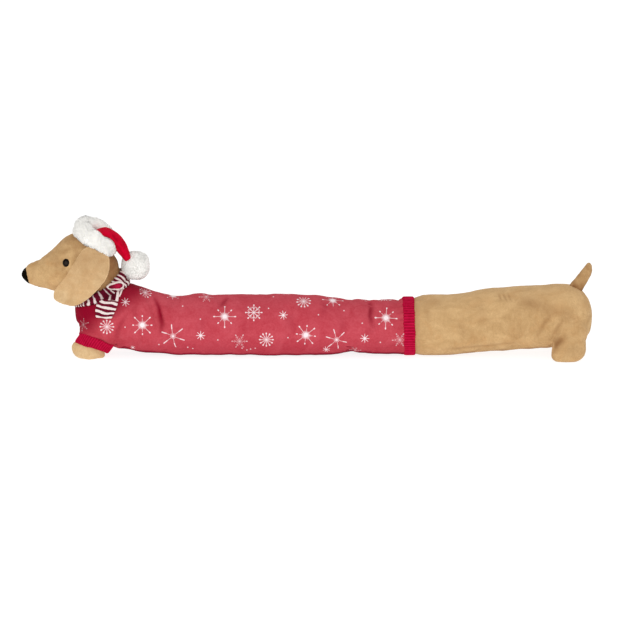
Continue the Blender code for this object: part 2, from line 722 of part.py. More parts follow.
def make_ear(name, side, others, finish):
    """A flat padded ear, hung over the side of the head. Its rim is round and its back follows the head."""
    tree = evaluated_tree(others)
    outline = np.array(closed_curve(EAR_OUTLINE, 36))
    middle = outline.mean(axis=0)
    top_z = outline[:, 1].max()
    shares = (0.3, 0.6, 0.84, 1.0)
    spots = np.array([middle + (outline - middle) * share for share in shares])
    depth = np.array([[hanging_depth(tree, x, z, top_z, side) for x, z in ring] for ring in spots])
    floor = depth.copy()
    for _ in range(6):
        ring_mean = (np.roll(depth, 1, 1) + np.roll(depth, -1, 1)) / 2
        inner = np.vstack([depth[:1].mean(1, keepdims=True).repeat(36, 1), depth[:-1]])
        outer = np.vstack([depth[1:], depth[-1:]])
        depth = np.maximum(floor, 0.4 * depth + 0.3 * ring_mean + 0.15 * (inner + outer))
    rims = [math.sqrt(1 - 0.9 * share**6) for share in shares]

    def layer(out):
        """Rings of points out from the back face by a share of the thickness, thinner at the rim."""
        rings = []
        for ring, deep, rim in zip(spots, depth, rims):
            lift = DRAPE_GAP + EAR_THICKNESS * (0.5 + (out - 0.5) * rim)
            rings.append([Vector((x, side * (d + lift), z)) for (x, z), d in zip(ring, deep)])
        return rings

    back, front = layer(0.0), layer(1.0)
    rings = [*back, *reversed(front)]
    for ring in back:
        keep_clear(ring, tree, DRAPE_GAP)
    middles = [sum(ring, Vector()) / len(ring) for ring in (back[0], front[0])]
    return loft(name, rings, finish, first_pole=middles[0], last_pole=middles[1])


# ---------------------------------------------------------------- the scarf


def make_scarf_band(others, finish):
    """The bunched part of the scarf round the neck, with one long crease along it."""
    centre = (NAPE + THROAT) / 2 - NECK_DOWN * NECK_LENGTH / 2
    half_long = (NAPE - THROAT).length / 2 + DRAPE_GAP
    half_short = NECK_HALF_WIDTH + DRAPE_GAP
    frame = ring_frame(centre, NECK_UP, Vector((0.0, -1.0, 0.0)), NECK_DOWN)
    edge = NECK_LENGTH / 2 - DRAPE_GAP
    profile = [
        (-edge, 0.0),
        (-edge, 0.25),
        (-edge * 0.7, 0.86),
        (-edge * 0.25, 1.0),
        (edge * 0.05, 0.72),
        (edge * 0.45, 0.98),
        (edge * 0.95, 0.85),
        (edge * 1.3, 0.55),
        (edge, 0.0),
        (0.0, 0.0),
    ]
    tree = evaluated_tree(others)
    segments = 44
    loops = []
    for i in range(segments):
        angle = 2 * math.pi * i / segments
        up, side = rounded(angle, 2.15)
        bunch = 1.0 + 0.10 * math.sin(3 * angle + 1.0) + 0.06 * math.sin(7 * angle)
        drift = 0.0008 * math.sin(2 * angle + 0.5)
        cut = []
        for along, out in profile:
            lift = out * BAND_THICKNESS * bunch
            spot = Vector(((half_long + lift) * up, (half_short + lift) * side, along * 0.94 + drift))
            cut.append(frame @ spot)
        loops.append(keep_clear(cut, tree, BAND_GAP))
    return hoop("scarf", loops, finish)


def laid_strip(name, rows, thickness, tree, finish, lift=0.0):
    """A flat end of the scarf, lying on the jumper's near side."""
    across = np.linspace(-1.0, 1.0, 6)
    steps = 9
    knots = np.arange(len(rows), dtype=float)
    table = smooth_through(knots, np.array(rows, float), np.linspace(0, knots[-1], steps))
    faces, points = [], []
    for x, z, half_width in table:
        ring = []
        for outer in (0, 1):
            for share in across if outer else across[::-1]:
                spot_x = x + share * half_width
                spot_z = z - 0.0016 * share
                depth = side_depth(tree, spot_x, spot_z, -1)
                round_edge = 0.5 + (outer - 0.5) * (1.0 if abs(share) < 0.99 else 0.45)
                ring.append(Vector((spot_x, -(depth + DRAPE_GAP + lift + thickness * round_edge), spot_z)))
        points.append(ring)
    count = len(points[0])
    for start in range(0, (steps - 1) * count, count):
        for i in range(count):
            j = (i + 1) % count
            faces.append((start + i, start + j, start + count + j, start + count + i))
    last = (steps - 1) * count
    faces.append(tuple(range(count)))
    faces.append(tuple(last + i for i in reversed(range(count))))
    return solid(name, [p for ring in points for p in ring], faces, finish)


def make_knot(tree, finish):
    """The knot: a plump wrap with a waist, pressed against the jumper behind it."""
    mesh = bpy.data.meshes.new("scarf_knot")
    lump = bmesh.new()
    bmesh.ops.create_uvsphere(lump, u_segments=20, v_segments=12, radius=1.0)
    depth = side_depth(tree, KNOT_SPOT.x, KNOT_SPOT.z, -1)
    place = Vector((KNOT_SPOT.x, -(depth + 0.0062), KNOT_SPOT.z))
    tilt = Matrix.Rotation(math.radians(-KNOT_TILT_DEG), 4, "Y")
    for vertex in lump.verts:
        spot = vertex.co.copy()
        box = Vector([math.copysign(abs(s) ** 0.8, s) for s in spot])
        crease = 1.0 - 0.14 * math.exp(-((box.z / 0.22) ** 2)) * (1 if box.y < 0 else 0)
        sized = Vector((box.x * KNOT_HALF_SIZE.x, box.y * KNOT_HALF_SIZE.y * crease, box.z * KNOT_HALF_SIZE.z))
        vertex.co = place + tilt @ sized
    keep_clear([v.co for v in lump.verts], tree, DRAPE_GAP)
    lump.to_mesh(mesh)
    lump.free()
    mesh.shade_smooth()
    mesh.materials.append(finish)
    knot = bpy.data.objects.new("scarf_knot", mesh)
    bpy.context.scene.collection.objects.link(knot)
    return knot


def make_scarf(head, jumper, finish):
    """One knitted scarf: the band, the knot and its two ends, joined into one piece."""
    scarf = make_scarf_band([head, jumper], finish)
    tree = evaluated_tree([head, jumper])
    combine(scarf, make_knot(tree, finish), "UNION")
    short = laid_strip("scarf_short_end", SHORT_END, END_THICKNESS * 0.8, tree, finish)
    combine(scarf, short, "UNION")
    long = laid_strip("scarf_long_end", LONG_END, END_THICKNESS, tree, finish, lift=0.0012)
    combine(scarf, long, "UNION")
    return scarf


# ---------------------------------------------------------------- the hat


def make_brim(head, ears, finish):
    """The fur band: a fat lumpy ring, flattened where it rests on the crown and the ears."""
    across = BRIM_UP.cross(Vector((1.0, -0.1, 0.0))).normalized()
    long_way = across.cross(BRIM_UP)
    tree = evaluated_tree([head, *ears])
    around, through = 40, 14
    loops = []
    for i in range(around):
        angle = 2 * math.pi * i / around
        out = long_way * math.cos(angle) + across * math.sin(angle)
        cut = []
        for k in range(through):
            turn = 2 * math.pi * k / through
            tuft = math.sin(5 * angle + 2 * turn) * math.sin(9 * angle - 3 * turn + 0.7)
            radius = BRIM_TUBE_RADIUS * (1.0 - 0.10 * math.cos(angle) + 0.045 * tuft)
            spoke = out * math.cos(turn) + BRIM_UP * math.sin(turn)
            cut.append(BRIM_CENTRE + out * BRIM_RING_RADIUS + spoke * radius)
        loops.append(keep_clear(lift_over(cut, tree, HEAD_MIDDLE, BRIM_GAP), tree, BRIM_GAP))
    brim = hoop("hat_brim", loops, finish)
    for ear in ears:
        cut_clear(brim, ear, DRAPE_GAP)
    return brim


def make_pompom(others, finish):
    """A ball of short locks. Each lock is a four-sided tuft that stands apart on the ball."""
    mesh = bpy.data.meshes.new("hat_pompom")
    ball = bmesh.new()
    bmesh.ops.create_cube(ball, size=2.0)
    bmesh.ops.subdivide_edges(
        ball, edges=ball.edges, cuts=POMPOM_LOCKS_A_SIDE - 1, use_grid_fill=True
    )
    core = POMPOM_RADIUS - POMPOM_LOCK_LENGTH
    for vertex in ball.verts:
        spread = Vector([math.tan(side * math.pi / 4) for side in vertex.co])
        vertex.co = spread.normalized() * core
    for number, face in enumerate(list(ball.faces)):
        out = face.calc_center_median().normalized()
        length = POMPOM_LOCK_LENGTH * (0.82 + 0.18 * math.sin(number * 2.399963))
        lean = out.cross(Vector((0.3, 0.5, 1.0))).normalized() * 0.0012 * math.sin(number * 1.7)
        tip = bmesh.ops.poke(ball, faces=[face])["verts"][0]
        tip.co = out * (core + length) + lean
    for vertex in ball.verts:
        vertex.co += POMPOM_CENTRE
    keep_clear([v.co for v in ball.verts], evaluated_tree(others), POMPOM_GAP)
    ball.to_mesh(mesh)
    ball.free()
    mesh.materials.append(finish)
    pompom = bpy.data.objects.new("hat_pompom", mesh)
    bpy.context.scene.collection.objects.link(pompom)
    return pompom


def make_pompom_hollow(finish):
    """The ball that all of the pompom's locks stay inside."""
    rings = []
    for k in range(1, 14):
        angle = math.pi * k / 14
        reach = (POMPOM_RADIUS + DRAPE_GAP) * math.sin(angle)
        middle = POMPOM_CENTRE + Vector((0.0, 0.0, (POMPOM_RADIUS + DRAPE_GAP) * math.cos(angle)))
        turns = [2 * math.pi * i / 24 for i in range(24)]
        rings.append([middle + Vector((reach * math.cos(t), reach * math.sin(t), 0.0)) for t in turns])
    return loft("pompom_hollow", rings, finish)


def make_cone(head, brim, finish):
    """The soft cone, folded over behind the brim and sewn to the pompom at its tip."""
    knots = np.arange(len(CONE_ROWS), dtype=float)
    table = smooth_through(knots, np.array(CONE_ROWS, float), np.linspace(0, knots[-1], 17))
    rings = []
    for x, y, z, heading_deg, half_height, half_width in table:
        heading = math.radians(heading_deg)
        outer = Vector((-math.cos(heading), 0.0, math.sin(heading)))
        ring = []
        for i in range(24):
            rise, run = rounded(2 * math.pi * i / 24, 1.9)
            ring.append(Vector((x, y - half_width * run, z)) + outer * half_height * rise)
        rings.append(ring)
    cone = loft("hat_cone", rings, finish)
    combine(cone, make_pompom_hollow(finish), "DIFFERENCE")
    cut_clear(cone, brim, DRAPE_GAP)
    return cut_clear(cone, head, DRAPE_GAP)


# ---------------------------------------------------------------- the whole


def main():
    clear_scene()
    plush = finish_of("tan_plush", TAN, 0.85)
    print_cloth = finish_of("printed_jersey", JUMPER_RED, 0.8)
    rib_knit = finish_of("rib_knit", RIB_RED, 0.85)
    knit = finish_of("striped_knit", MAROON, 0.85)
    fleece = finish_of("white_fleece", OFF_WHITE, 0.9)
    velvet = finish_of("hat_velvet", HAT_RED, 0.7)
    felt = finish_of("nose_felt", BLACK, 0.8)
    bead = finish_of("eye_bead", BLACK, 0.15)

    jumper = make_jumper(print_cloth)
    make_hem_band(rib_knit)
    hind = make_hindquarters(plush)
    make_tail(hind, plush)
    for side, word in ((-1, "near"), (1, "far")):
        make_sleeve_cuff("sleeve_cuff_" + word, side, rib_knit)
        make_paw("paw_" + word, side, plush)

    head = make_head(plush)
    make_nose(felt)
    scarf = make_scarf(head, jumper, knit)
    ears = []
    for side, word in ((-1, "near"), (1, "far")):
        make_eye("eye_" + word, side, head, bead)
        ears.append(make_ear("ear_" + word, side, [head, jumper, scarf], plush))

    brim = make_brim(head, ears, fleece)
    make_pompom([head, jumper, scarf], fleece)
    make_cone(head, brim, velvet)


main()
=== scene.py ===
"""The finished look of the dachshund draught excluder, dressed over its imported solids.

Lengths are in metres, in the frame of the solids: the head is towards -X, the viewer's side is -Y and the
floor is z = 0. Filled pieces are swelled as cloth over their filling, then creased and given their nap. Knit
is built rib by rib, and the fleece lock by lock.
"""

from collections import namedtuple
from math import copysign, cos, exp, hypot, pi, radians, sin, sqrt

import bmesh
import bpy
import numpy as np
from mathutils import Matrix, Vector, noise
from mathutils.bvhtree import BVHTree


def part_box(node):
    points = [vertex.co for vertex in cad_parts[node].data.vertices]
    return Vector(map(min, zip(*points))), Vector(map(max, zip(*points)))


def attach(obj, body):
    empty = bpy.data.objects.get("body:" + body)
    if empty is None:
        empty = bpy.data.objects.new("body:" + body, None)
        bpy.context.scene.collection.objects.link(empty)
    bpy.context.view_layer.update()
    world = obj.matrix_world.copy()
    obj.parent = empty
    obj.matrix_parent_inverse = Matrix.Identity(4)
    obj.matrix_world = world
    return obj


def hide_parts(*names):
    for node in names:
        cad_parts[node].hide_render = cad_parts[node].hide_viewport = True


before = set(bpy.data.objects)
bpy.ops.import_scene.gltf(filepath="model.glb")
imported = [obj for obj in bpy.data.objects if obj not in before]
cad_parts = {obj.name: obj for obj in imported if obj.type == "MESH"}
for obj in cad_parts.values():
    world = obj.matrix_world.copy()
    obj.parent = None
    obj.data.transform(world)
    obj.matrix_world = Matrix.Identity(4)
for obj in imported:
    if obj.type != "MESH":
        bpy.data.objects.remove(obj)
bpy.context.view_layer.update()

# ---- sizes kept from the solids

TURN = 2 * pi
HALF_RIGHT = 0.7071
SIDES = {"near": -1, "far": 1}

NAPE = Vector((-0.3157, 0.0, 0.1270))
THROAT = Vector((-0.4025, 0.0, 0.0823))
NECK_MIDDLE = (NAPE + THROAT) / 2
NECK_UP = (NAPE - THROAT).normalized()
NECK_DOWN = Vector((NECK_UP.z, 0.0, -NECK_UP.x))
NECK_HALF_WIDTH = 0.044
NECK_LENGTH = 0.016

HEM_START_X = 0.1701
HEM_WIDTH = 0.0188
HEM_CENTRE_Z = 0.0496
HEM_HALF_HEIGHT = 0.0509
HEM_HALF_WIDTH = 0.0545
HEM_THICKNESS = 0.0036
HEM_TILT = -0.026
HEM_RIBS = 62

FRONT_LEG_Y = 0.033
LEG_SET_BACK = {"near": 0.0, "far": 0.0035}
LEG_LEAN, CUFF_SLOPE = radians(36.0), radians(20.0)
LEG_DOWN = np.array((-sin(LEG_LEAN), 0.0, -cos(LEG_LEAN)))
CUFF_FORWARD = np.array((cos(CUFF_SLOPE), 0.0, -sin(CUFF_SLOPE)))
CUFF_TOP = Vector((-0.3676, 0.0, 0.0340))
CUFF_WIDTH = 0.0190
CUFF_HALF_LENGTH = 0.0309
CUFF_HALF_WIDTH = 0.0210
CUFF_THICKNESS = 0.0030
CUFF_RIBS = 44

STRIPE_PITCH = 0.0086
BAND_STRIPES = 33
BAND_FAN = 0.53
ROW_PITCH = 0.0019
EYE_RADIUS = 0.0064
EYE_FLATNESS = 0.75
EYE_HEIGHT = 1.10
POMPOM_CENTRE = Vector((-0.3002, 0.0020, 0.1574))
POMPOM_RADIUS = 0.0205
POMPOM_SQUARENESS = 2.7

BAND_THICKNESS = 0.0060
KNOT_SPOT = (-0.3334, 0.1307)
KNOT_HALF_SIZE = Vector((0.0154, 0.0075, 0.0092))
KNOT_TILT = radians(-4.0)
END_THICKNESS = 0.0042
THROAT_Z = 0.1062
SCARF_GAP = 0.0009
# The x, the z and the half width of each end of the scarf, from the knot down.
LONG_END = [
    (-0.3395, 0.1275, 0.0115), (-0.3415, 0.1180, 0.0142), (-0.3440, 0.1082, 0.0155),
    (-0.3478, 0.0992, 0.0172), (-0.3506, 0.0902, 0.0170), (-0.3528, 0.0825, 0.0156),
    (-0.3540, 0.0752, 0.0132),
]
SHORT_END = [
    (-0.3245, 0.1320, 0.0040), (-0.3248, 0.1260, 0.0044), (-0.3262, 0.1190, 0.0040),
    (-0.3284, 0.1110, 0.0022),
]

# How each skin is woven again from its solid: the size of its cells, how often it is smoothed and split, how
# much more cloth it has than its shape needs, and how far that cloth may swell over the filling.
Skin = namedtuple("Skin", "cell rounds levels growth cap", defaults=(0.0, 0.0))
SKINS = {
    "jumper": Skin(0.0042, 2, 0, 0.035, 0.0022),
    "hindquarters": Skin(0.0042, 2, 0, 0.030, 0.0016),
    "head": Skin(0.0034, 2, 0, 0.020, 0.0010),
    "paw": Skin(0.0026, 3, 0, 0.020, 0.0010),
    "tail": Skin(0.0018, 3, 1),
    "nose": Skin(0.0011, 14, 1),
    "ear": Skin(0.0019, 7, 1),
    "hat_brim": Skin(0.0024, 4, 0),
    "hat_cone": Skin(0.0017, 4, 1),
}

# The cloth that swells, the force of its filling, and how long it is given.
CLOTH = {
    "quality": 5,
    "mass": 0.15,
    "tension_stiffness": 18.0,
    "compression_stiffness": 18.0,
    "shear_stiffness": 6.0,
    "bending_stiffness": 0.35,
    "air_damping": 4.0,
    "use_pressure": True,
    "uniform_pressure_force": 4.0,
}
SWELL_FRAMES = 20

# How many puckers run round each side of the hem band, how high the front legs splay, and how far the cloth of
# the jumper is tucked at each band.
JUMPER_PUCKERS, HIND_PUCKERS = 23, 19
PUCKER_HEIGHT = 0.0006
SPLAY = 0.0056
HEM_TUCK, CUFF_TUCK, COLLAR_TUCK, COLLAR_STAND = 0.0045, 0.0032, 0.0065, 0.0014
FAR_PAW_SET_BACK = 0.0040
NOSE_STRETCH = (1.40, 1.27, 1.19)

# Locks of fleece. lean is how far they fall over, clump how far tips gather, curl how they bend, and white how
# much lighter they are painted, as painted light.
Fleece = namedtuple("Fleece", "count length radius seed lean clump curl white")
BRIM_FLEECE = Fleece(8800, 0.0042, 0.00115, 31, 0.70, 0.25, 0.18, 0.0)
POMPOM_FLEECE = Fleece(7000, 0.0062, 0.00110, 41, 0.40, 0.22, 0.18, 0.6)
ROOT_DEPTH = 0.0008

# ---- the viewer's place and the light

VIEW_TARGET = Vector((0.0175, 0.0, 0.0654))
VIEW_ELEVATION = radians(12.0)
VIEW_DISTANCE = 8.0
VIEW_WIDTH = 1.112
SENSOR_MM = 36.0
VIEW_UP = Vector((0.0, sin(VIEW_ELEVATION), cos(VIEW_ELEVATION)))
VIEW_WAY = Vector((0.0, cos(VIEW_ELEVATION), -sin(VIEW_ELEVATION)))
VIEW_PLACE = VIEW_TARGET - VIEW_WAY * VIEW_DISTANCE

FLOOR_HALF = 30.0
WORLD_STRENGTH = 0.76
Lamp = namedtuple("Lamp", "name place target size power")
LAMPS = [
    Lamp("key", (-0.6, -3.3, 1.6), (0.0, 0.0, 0.05), (2.2, 1.6), 26.0),
    Lamp("fill", (1.6, -3.0, 1.0), (0.1, 0.0, 0.05), (2.0, 1.6), 6.0),
]

# ---- the print, the creases and the pushes

# Places as the viewer sees them: across along X, up from the floor line. FAR_SHIFT moves the chart along for
# the side that is out of sight, where it repeats up to FAR_TOP. SNAP is how near the cloth must be to a place
# for its motif. REACH says how far a kind reaches from its middle, in millimetres, and its order gives each
# kind its number.
Motif = namedtuple("Motif", "across up turn_deg size", defaults=(0, 1.0))
CHART = {
    "tuft": [
        (-0.2884, 0.0502, 45), (-0.1452, 0.0647), (-0.0030, 0.0326, 38), (0.0454, 0.0935, 4, 0.95),
        (0.1375, 0.0628, -4), (-0.2350, 0.1045, 0, 0.85),
    ],
    "burst": [(-0.2356, 0.0309, 40, 0.96), (0.0526, 0.0239, 43, 0.88)],
    "spark": [
        (-0.3189, 0.0905, 10), (-0.1856, 0.0316), (-0.0414, 0.0674, 8), (0.1009, 0.0261),
        (0.0328, 0.0068, 20, 0.8), (-0.3056, 0.0105, 0, 0.6),
    ],
    "dandelion": [(-0.3512, 0.0467), (-0.0710, 0.0244), (-0.0053, 0.0915, 9), (-0.2833, 0.1065, 0, 0.9)],
    "branched": [(-0.0938, 0.0719, 0, 0.92)],
    "frost": [
        (-0.3925, 0.0500, 15, 0.80), (-0.1772, 0.0990, 5, 0.9), (-0.1184, 0.0209, 0, 0.95),
        (0.1624, 0.0239, 0, 0.9), (0.1000, 0.0950, 0, 0.9), (0.0842, 0.0060, 12, 0.72),
    ],
    "dot": [
        (-0.3183, 0.0467), (-0.1877, 0.0598), (-0.1570, 0.0239), (-0.0684, 0.0786), (-0.0342, 0.0270),
        (0.0210, 0.0677), (0.0649, 0.0747), (0.0973, 0.0537), (0.1284, 0.0203), (-0.2184, 0.0826),
        (-0.2087, 0.0116), (-0.2008, 0.0088), (-0.0596, 0.0996), (-0.2596, 0.0160), (-0.1135, 0.0092),
        (-0.1062, 0.0062), (-0.0988, 0.0078), (-0.0908, 0.0090),
    ],
}
REACH = {"plain": 0.0, "tuft": 22.0, "burst": 24.0, "spark": 10.5, "dandelion": 15.6}
REACH |= {"branched": 18.5, "frost": 17.0, "dot": 3.4}
KINDS = tuple(REACH)
FAR_SHIFT = 0.142
FAR_TOP = 0.100
SNAP = 0.006
PRINT_SPAN = (-0.400, 0.168)

# A crease, in millimetres, along a path of places as the viewer sees them. shade is how much darker the colour
# is painted along it: painted shade where the crease dents the cloth, and a darker patch where depth is 0.
Crease = namedtuple("Crease", "width depth shade path")
JUMPER_CREASES = [
    (4.6, 2.4, 1.00, ((-270, 103), (-261, 84), (-258, 69), (-254, 50), (-256, 38))),
    (9.0, -1.8, 0.00, ((-254, 98), (-246, 74), (-242, 46))),
    (8.0, -1.0, 0.00, ((-281, 96), (-273, 74), (-268, 50))),
    (5.6, 2.2, 0.40, ((-336, 14), (-333, 38), (-324, 58), (-316, 70))),
    (7.0, 1.5, 0.30, ((-302, 92), (-304, 76), (-300, 60))),
    (5.5, 2.1, 0.60, ((-137, 104), (-143, 95), (-153, 82))),
    (8.0, 1.2, 0.20, ((-33, 74), (-29, 58), (-25, 40))),
    (4.6, 2.0, 0.75, ((108, 96), (112, 80), (111, 66), (115, 50))),
    (7.0, 0.9, 0.15, ((111, 50), (106, 34), (100, 20))),
    (6.0, 0.9, 0.30, ((88, 12), (76, 9), (66, 2))),
    (9.0, 1.0, 0.15, ((-183, 66), (-190, 31))),
    (7.5, 1.2, 0.25, ((28, 100), (31, 84), (27, 66))),
    (9.0, 1.0, 0.20, ((60, 66), (63, 48), (60, 34))),
    (9.0, 1.0, 0.15, ((-112, 60), (-108, 44), (-112, 30))),
]
HIND_CREASES = [
    (5.5, 1.7, 0.40, ((402, 26), (411, 43), (421, 60), (434, 74))),
    (5.5, 1.5, 0.40, ((431, 24), (436, 36), (444, 50), (454, 60))),
    (8.5, 0.9, 0.92, ((433, 6), (438, 18), (452, 28))),
    (2.6, 0.8, 0.55, ((336, 106), (338, 100), (341, 94))),
    (2.6, 0.8, 0.55, ((344, 106), (347, 99), (351, 92))),
    (2.6, 0.7, 0.45, ((352, 105), (355, 99), (358, 92))),
    (5.5, 1.0, 0.15, ((359, 60), (362, 42), (363, 25))),
    (5.5, 1.0, 0.15, ((371, 60), (374, 44), (374, 28))),
    (2.8, 0.8, 0.42, ((236, 6), (276, 10), (312, 13), (376, 20))),
    (17.0, 0.3, 0.32, ((366, 92), (392, 88), (412, 82))),
    (15.0, 0.0, 0.22, ((440, 72), (458, 64), (474, 52))),
    (16.0, 0.0, 0.24, ((450, 10), (472, 2), (490, 4))),
    (8.0, 0.8, 0.25, ((209, 88), (214, 54))),
    (9.0, 0.8, 0.20, ((270, 58), (275, 28))),
    (10.0, 0.8, 0.20, ((300, 92), (309, 70), (306, 50))),
    (12.0, 0.0, 0.35, ((209, 84), (222, 92), (240, 86))),
    (13.0, 0.0, 0.26, ((380, 96), (426, 78), (462, 66))),
]
HEAD_CREASES = [
    (3.0, 0.4, 0.35, ((-431, 144), (-424, 154))),
    (3.5, 0.3, 0.25, ((-424, 136), (-417, 150))),
    (6.5, 0.3, 0.38, ((-398, 190), (-404, 176), (-411, 160))),
    (6.0, 0.6, 0.60, ((-400, 206), (-382, 198))),
    (9.0, 0.5, 0.30, ((-452, 172), (-440, 158), (-436, 140))),
]
HAT_CREASES = [
    (2.8, 1.1, 0.80, ((-343, 210), (-337, 203), (-331, 195))),
    (2.6, 0.9, 0.70, ((-353, 205), (-344, 198), (-334, 188))),
    (2.8, 0.8, 0.50, ((-336, 192), (-330, 184), (-324, 175))),
    (2.6, 0.7, 0.50, ((-326, 203), (-322, 194), (-318, 183))),
]
JAW_Z = 0.128
EAR_FRONT = ((-394, 190), (-404, 172), (-421, 142), (-437, 110))

# Where a piece is pushed from its even shape, in millimetres: a place as the viewer sees it, how far the push
# reaches, and its move.
Push = namedtuple("Push", "across up reach move_x move_z")
JUMPER_PUSHES = [
    (-165, 0, 50, 0.0, 1.4), (-399, 55, 13, -3.4, 0.0), (-98, 98, 34, 0.0, -2.2), (52, 92, 32, 0.0, -2.6),
    (124, 90, 34, 0.0, -2.8), (-340, 17, 13, 0.0, -5.5), (81, 0, 14, 0.0, -4.5),
]
HIND_PUSHES = [
    (250, 106, 36, 0.0, -1.4), (318, 113, 30, 0.0, -1.0), (392, 120, 36, 0.0, -1.7), (492, 38, 12, 2.4, 0.0),
    (418, 5, 9, -2.6, 0.0),
]
HEAD_PUSHES = [
    (-327, 149, 9, -0.8, 0.0), (-334, 162, 10, 2.2, 0.0), (-480, 164, 13, 0.0, -1.0),
    (-440, 184, 20, 0.0, -2.6), (-444, 116, 18, 0.0, -1.2),
]
EAR_PUSHES = [(-441, 99, 17, -3.2, 0.0)]
BRIM_PUSHES = [(-346, 178, 17, 1.0, -8.5), (-408, 212, 12, -3.0, -2.5), (-366, 212, 9, 0.0, 5.0)]
CONE_PUSHES = [(-366, 220, 12, 2.0, -4.0), (-348, 222, 10, 0.0, -1.5)]

# ---- working on cloth


def new_piece(name, mesh):
    made = bpy.data.objects.new(name, mesh)
    bpy.context.scene.collection.objects.link(made)
    return made


def cast(name, skin, smooth=True):
    """A piece from a finished skin."""
    mesh = bpy.data.meshes.new(name)
    skin.to_mesh(mesh)
    skin.free()
    if smooth:
        mesh.shade_smooth()
    return new_piece(name, mesh)


def from_rings(name, rings, closed=False):
    """A skin over rings of points. An open run of rings ends on a pole over each end."""
    count, total = len(rings[0]), len(rings)
    points = [tuple(p) for ring in rings for p in ring]
    faces = []
    for k in range(total if closed else total - 1):
        here, there = k * count, (k + 1) % total * count
        for i in range(count):
            j = (i + 1) % count
            faces.append((here + i, here + j, there + j, there + i))
    if not closed:
        for ring, start in ((rings[0], 0), (rings[-1], (total - 1) * count)):
            for i in range(count):
                faces.append((len(points), start + (i + 1) % count, start + i)[:: 1 if start == 0 else -1])
            points.append(tuple(sum((Vector(p) for p in ring), Vector()) / count))
    mesh = bpy.data.meshes.new(name)
    mesh.from_pydata(points, [], faces)
    skin = bmesh.new()
    skin.from_mesh(mesh)
    bpy.data.meshes.remove(mesh)
    bmesh.ops.recalc_face_normals(skin, faces=skin.faces)
    return cast(name, skin)


def settle(piece, *changes):
    """Applies modifiers, each given as its kind and its settings."""
    for kind, settings in changes:
        modifier = piece.modifiers.new(kind.title(), kind)
        for key, value in settings.items():
            setattr(modifier, key, value)
    mesh = bpy.data.meshes.new_from_object(piece.evaluated_get(bpy.context.evaluated_depsgraph_get()))
    old = piece.data
    piece.modifiers.clear()
    piece.data = mesh
    bpy.data.meshes.remove(old)
    mesh.shade_smooth()
    return piece


def woven(name, node):
    """A piece in the shape of a solid, woven again in cells of even size and smoothed."""
    skin = bmesh.new()
    skin.from_mesh(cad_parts[node].data)
    bmesh.ops.remove_doubles(skin, verts=skin.verts, dist=1e-6)
    plan = SKINS[node.removesuffix("_near").removesuffix("_far")]
    piece = settle(cast(name, skin, smooth=False), ("REMESH", {"mode": "VOXEL", "voxel_size": plan.cell}))
    changes = [("SMOOTH", {"factor": 0.5, "iterations": plan.rounds})]
    if plan.levels:
        changes.append(("SUBSURF", {"levels": plan.levels}))
    return settle(piece, *changes)


def read(items, key, width=1, kind=float):
    """One value, or one row of width values, for each item of a mesh."""
    values = np.empty(len(items) * width, kind)
    items.foreach_get(key, values)
    return values.reshape(-1, width) if width > 1 else values


def spots(piece):
    return read(piece.data.vertices, "co", 3)


def outward(piece):
    return read(piece.data.vertex_normals, "vector", 3)


def put(piece, points):
    piece.data.vertices.foreach_set("co", np.ascontiguousarray(points, np.float32).ravel())
    piece.data.update()
    return piece


def raised(piece, heights):
    """Moves each point out of the surface by its height."""
    return put(piece, spots(piece) + outward(piece) * heights[:, None])


def tree_of(*pieces):
    points, faces = [], []
    for piece in pieces:
        start = len(points)
        points += [v.co.copy() for v in piece.data.vertices]
        faces += [[start + i for i in face.vertices] for face in piece.data.polygons]
    return BVHTree.FromPolygons(points, faces)


def keep_clear(points, tree, gap):
    """Moves each point that is inside the surface, or nearer than gap, out to gap."""
    for point in points:
        place, normal, _, _ = tree.find_nearest(Vector(point))
        height = (Vector(point) - place).dot(normal)
        if height < gap:
            way = normal if isinstance(point, Vector) else np.array(normal)
            point += way * (gap - height)
    return points


def side_depth(tree, x, z, side, reach=0.002):
    """How far cloth laid on one side at this place stands out from y = 0."""
    depths = [0.0]
    for step_x, step_z in ((0, 0), (reach, 0), (-reach, 0), (0, reach), (0, -reach)):
        hit = tree.ray_cast(Vector((x + step_x, side * 0.3, z + step_z)), Vector((0.0, -side, 0.0)))[0]
        if hit is not None:
            depths.append(hit.y * side)
    return max(depths)


def drift(points, pitch, seed):
    """Smooth random heights from -1 to 1 over the places. pitch is a hill's size, alike or along each way."""
    shift = np.array((seed * 17.3, seed * 7.1, seed * 3.7))
    return np.array([noise.noise(Vector(p)) for p in points / np.array(pitch) + shift])


def relief(points, *layers):
    """The sum of layers of hills, each given as its pitch, its height and its seed."""
    return sum(drift(points, pitch, seed) * height for pitch, height, seed in layers)


def rise(low, high, values):
    """From 0 at low to 1 at high, smooth at both ends."""
    t = np.clip((values - low) / (high - low), 0.0, 1.0)
    return t * t * (3 - 2 * t)


def fall(low, high, values):
    return 1 - rise(low, high, values)


def hump(values, middle, width):
    """1 at the middle, fading away on both sides."""
    return np.exp(-(((values - middle) / width) ** 2))


def label(piece, name, values, domain="POINT", kind="FLOAT"):
    """Writes one number, or one vector, for each point or corner, for the finish to read."""
    layer = piece.data.attributes.new(name, kind, domain)
    layer.data.foreach_set("value" if kind == "FLOAT" else "vector", np.asarray(values, np.float32).ravel())


def as_seen(points, side=-1):
    """Where the viewer sees each point: across, and up. side 1 looks from behind, the picture mirrored."""
    away = points * np.array((1.0, -side, 1.0)) - np.array(VIEW_PLACE)
    scale = VIEW_DISTANCE / (away @ np.array(VIEW_WAY))
    across = VIEW_TARGET.x + away[:, 0] * scale
    return across, VIEW_TARGET.dot(VIEW_UP) + (away @ np.array(VIEW_UP)) * scale


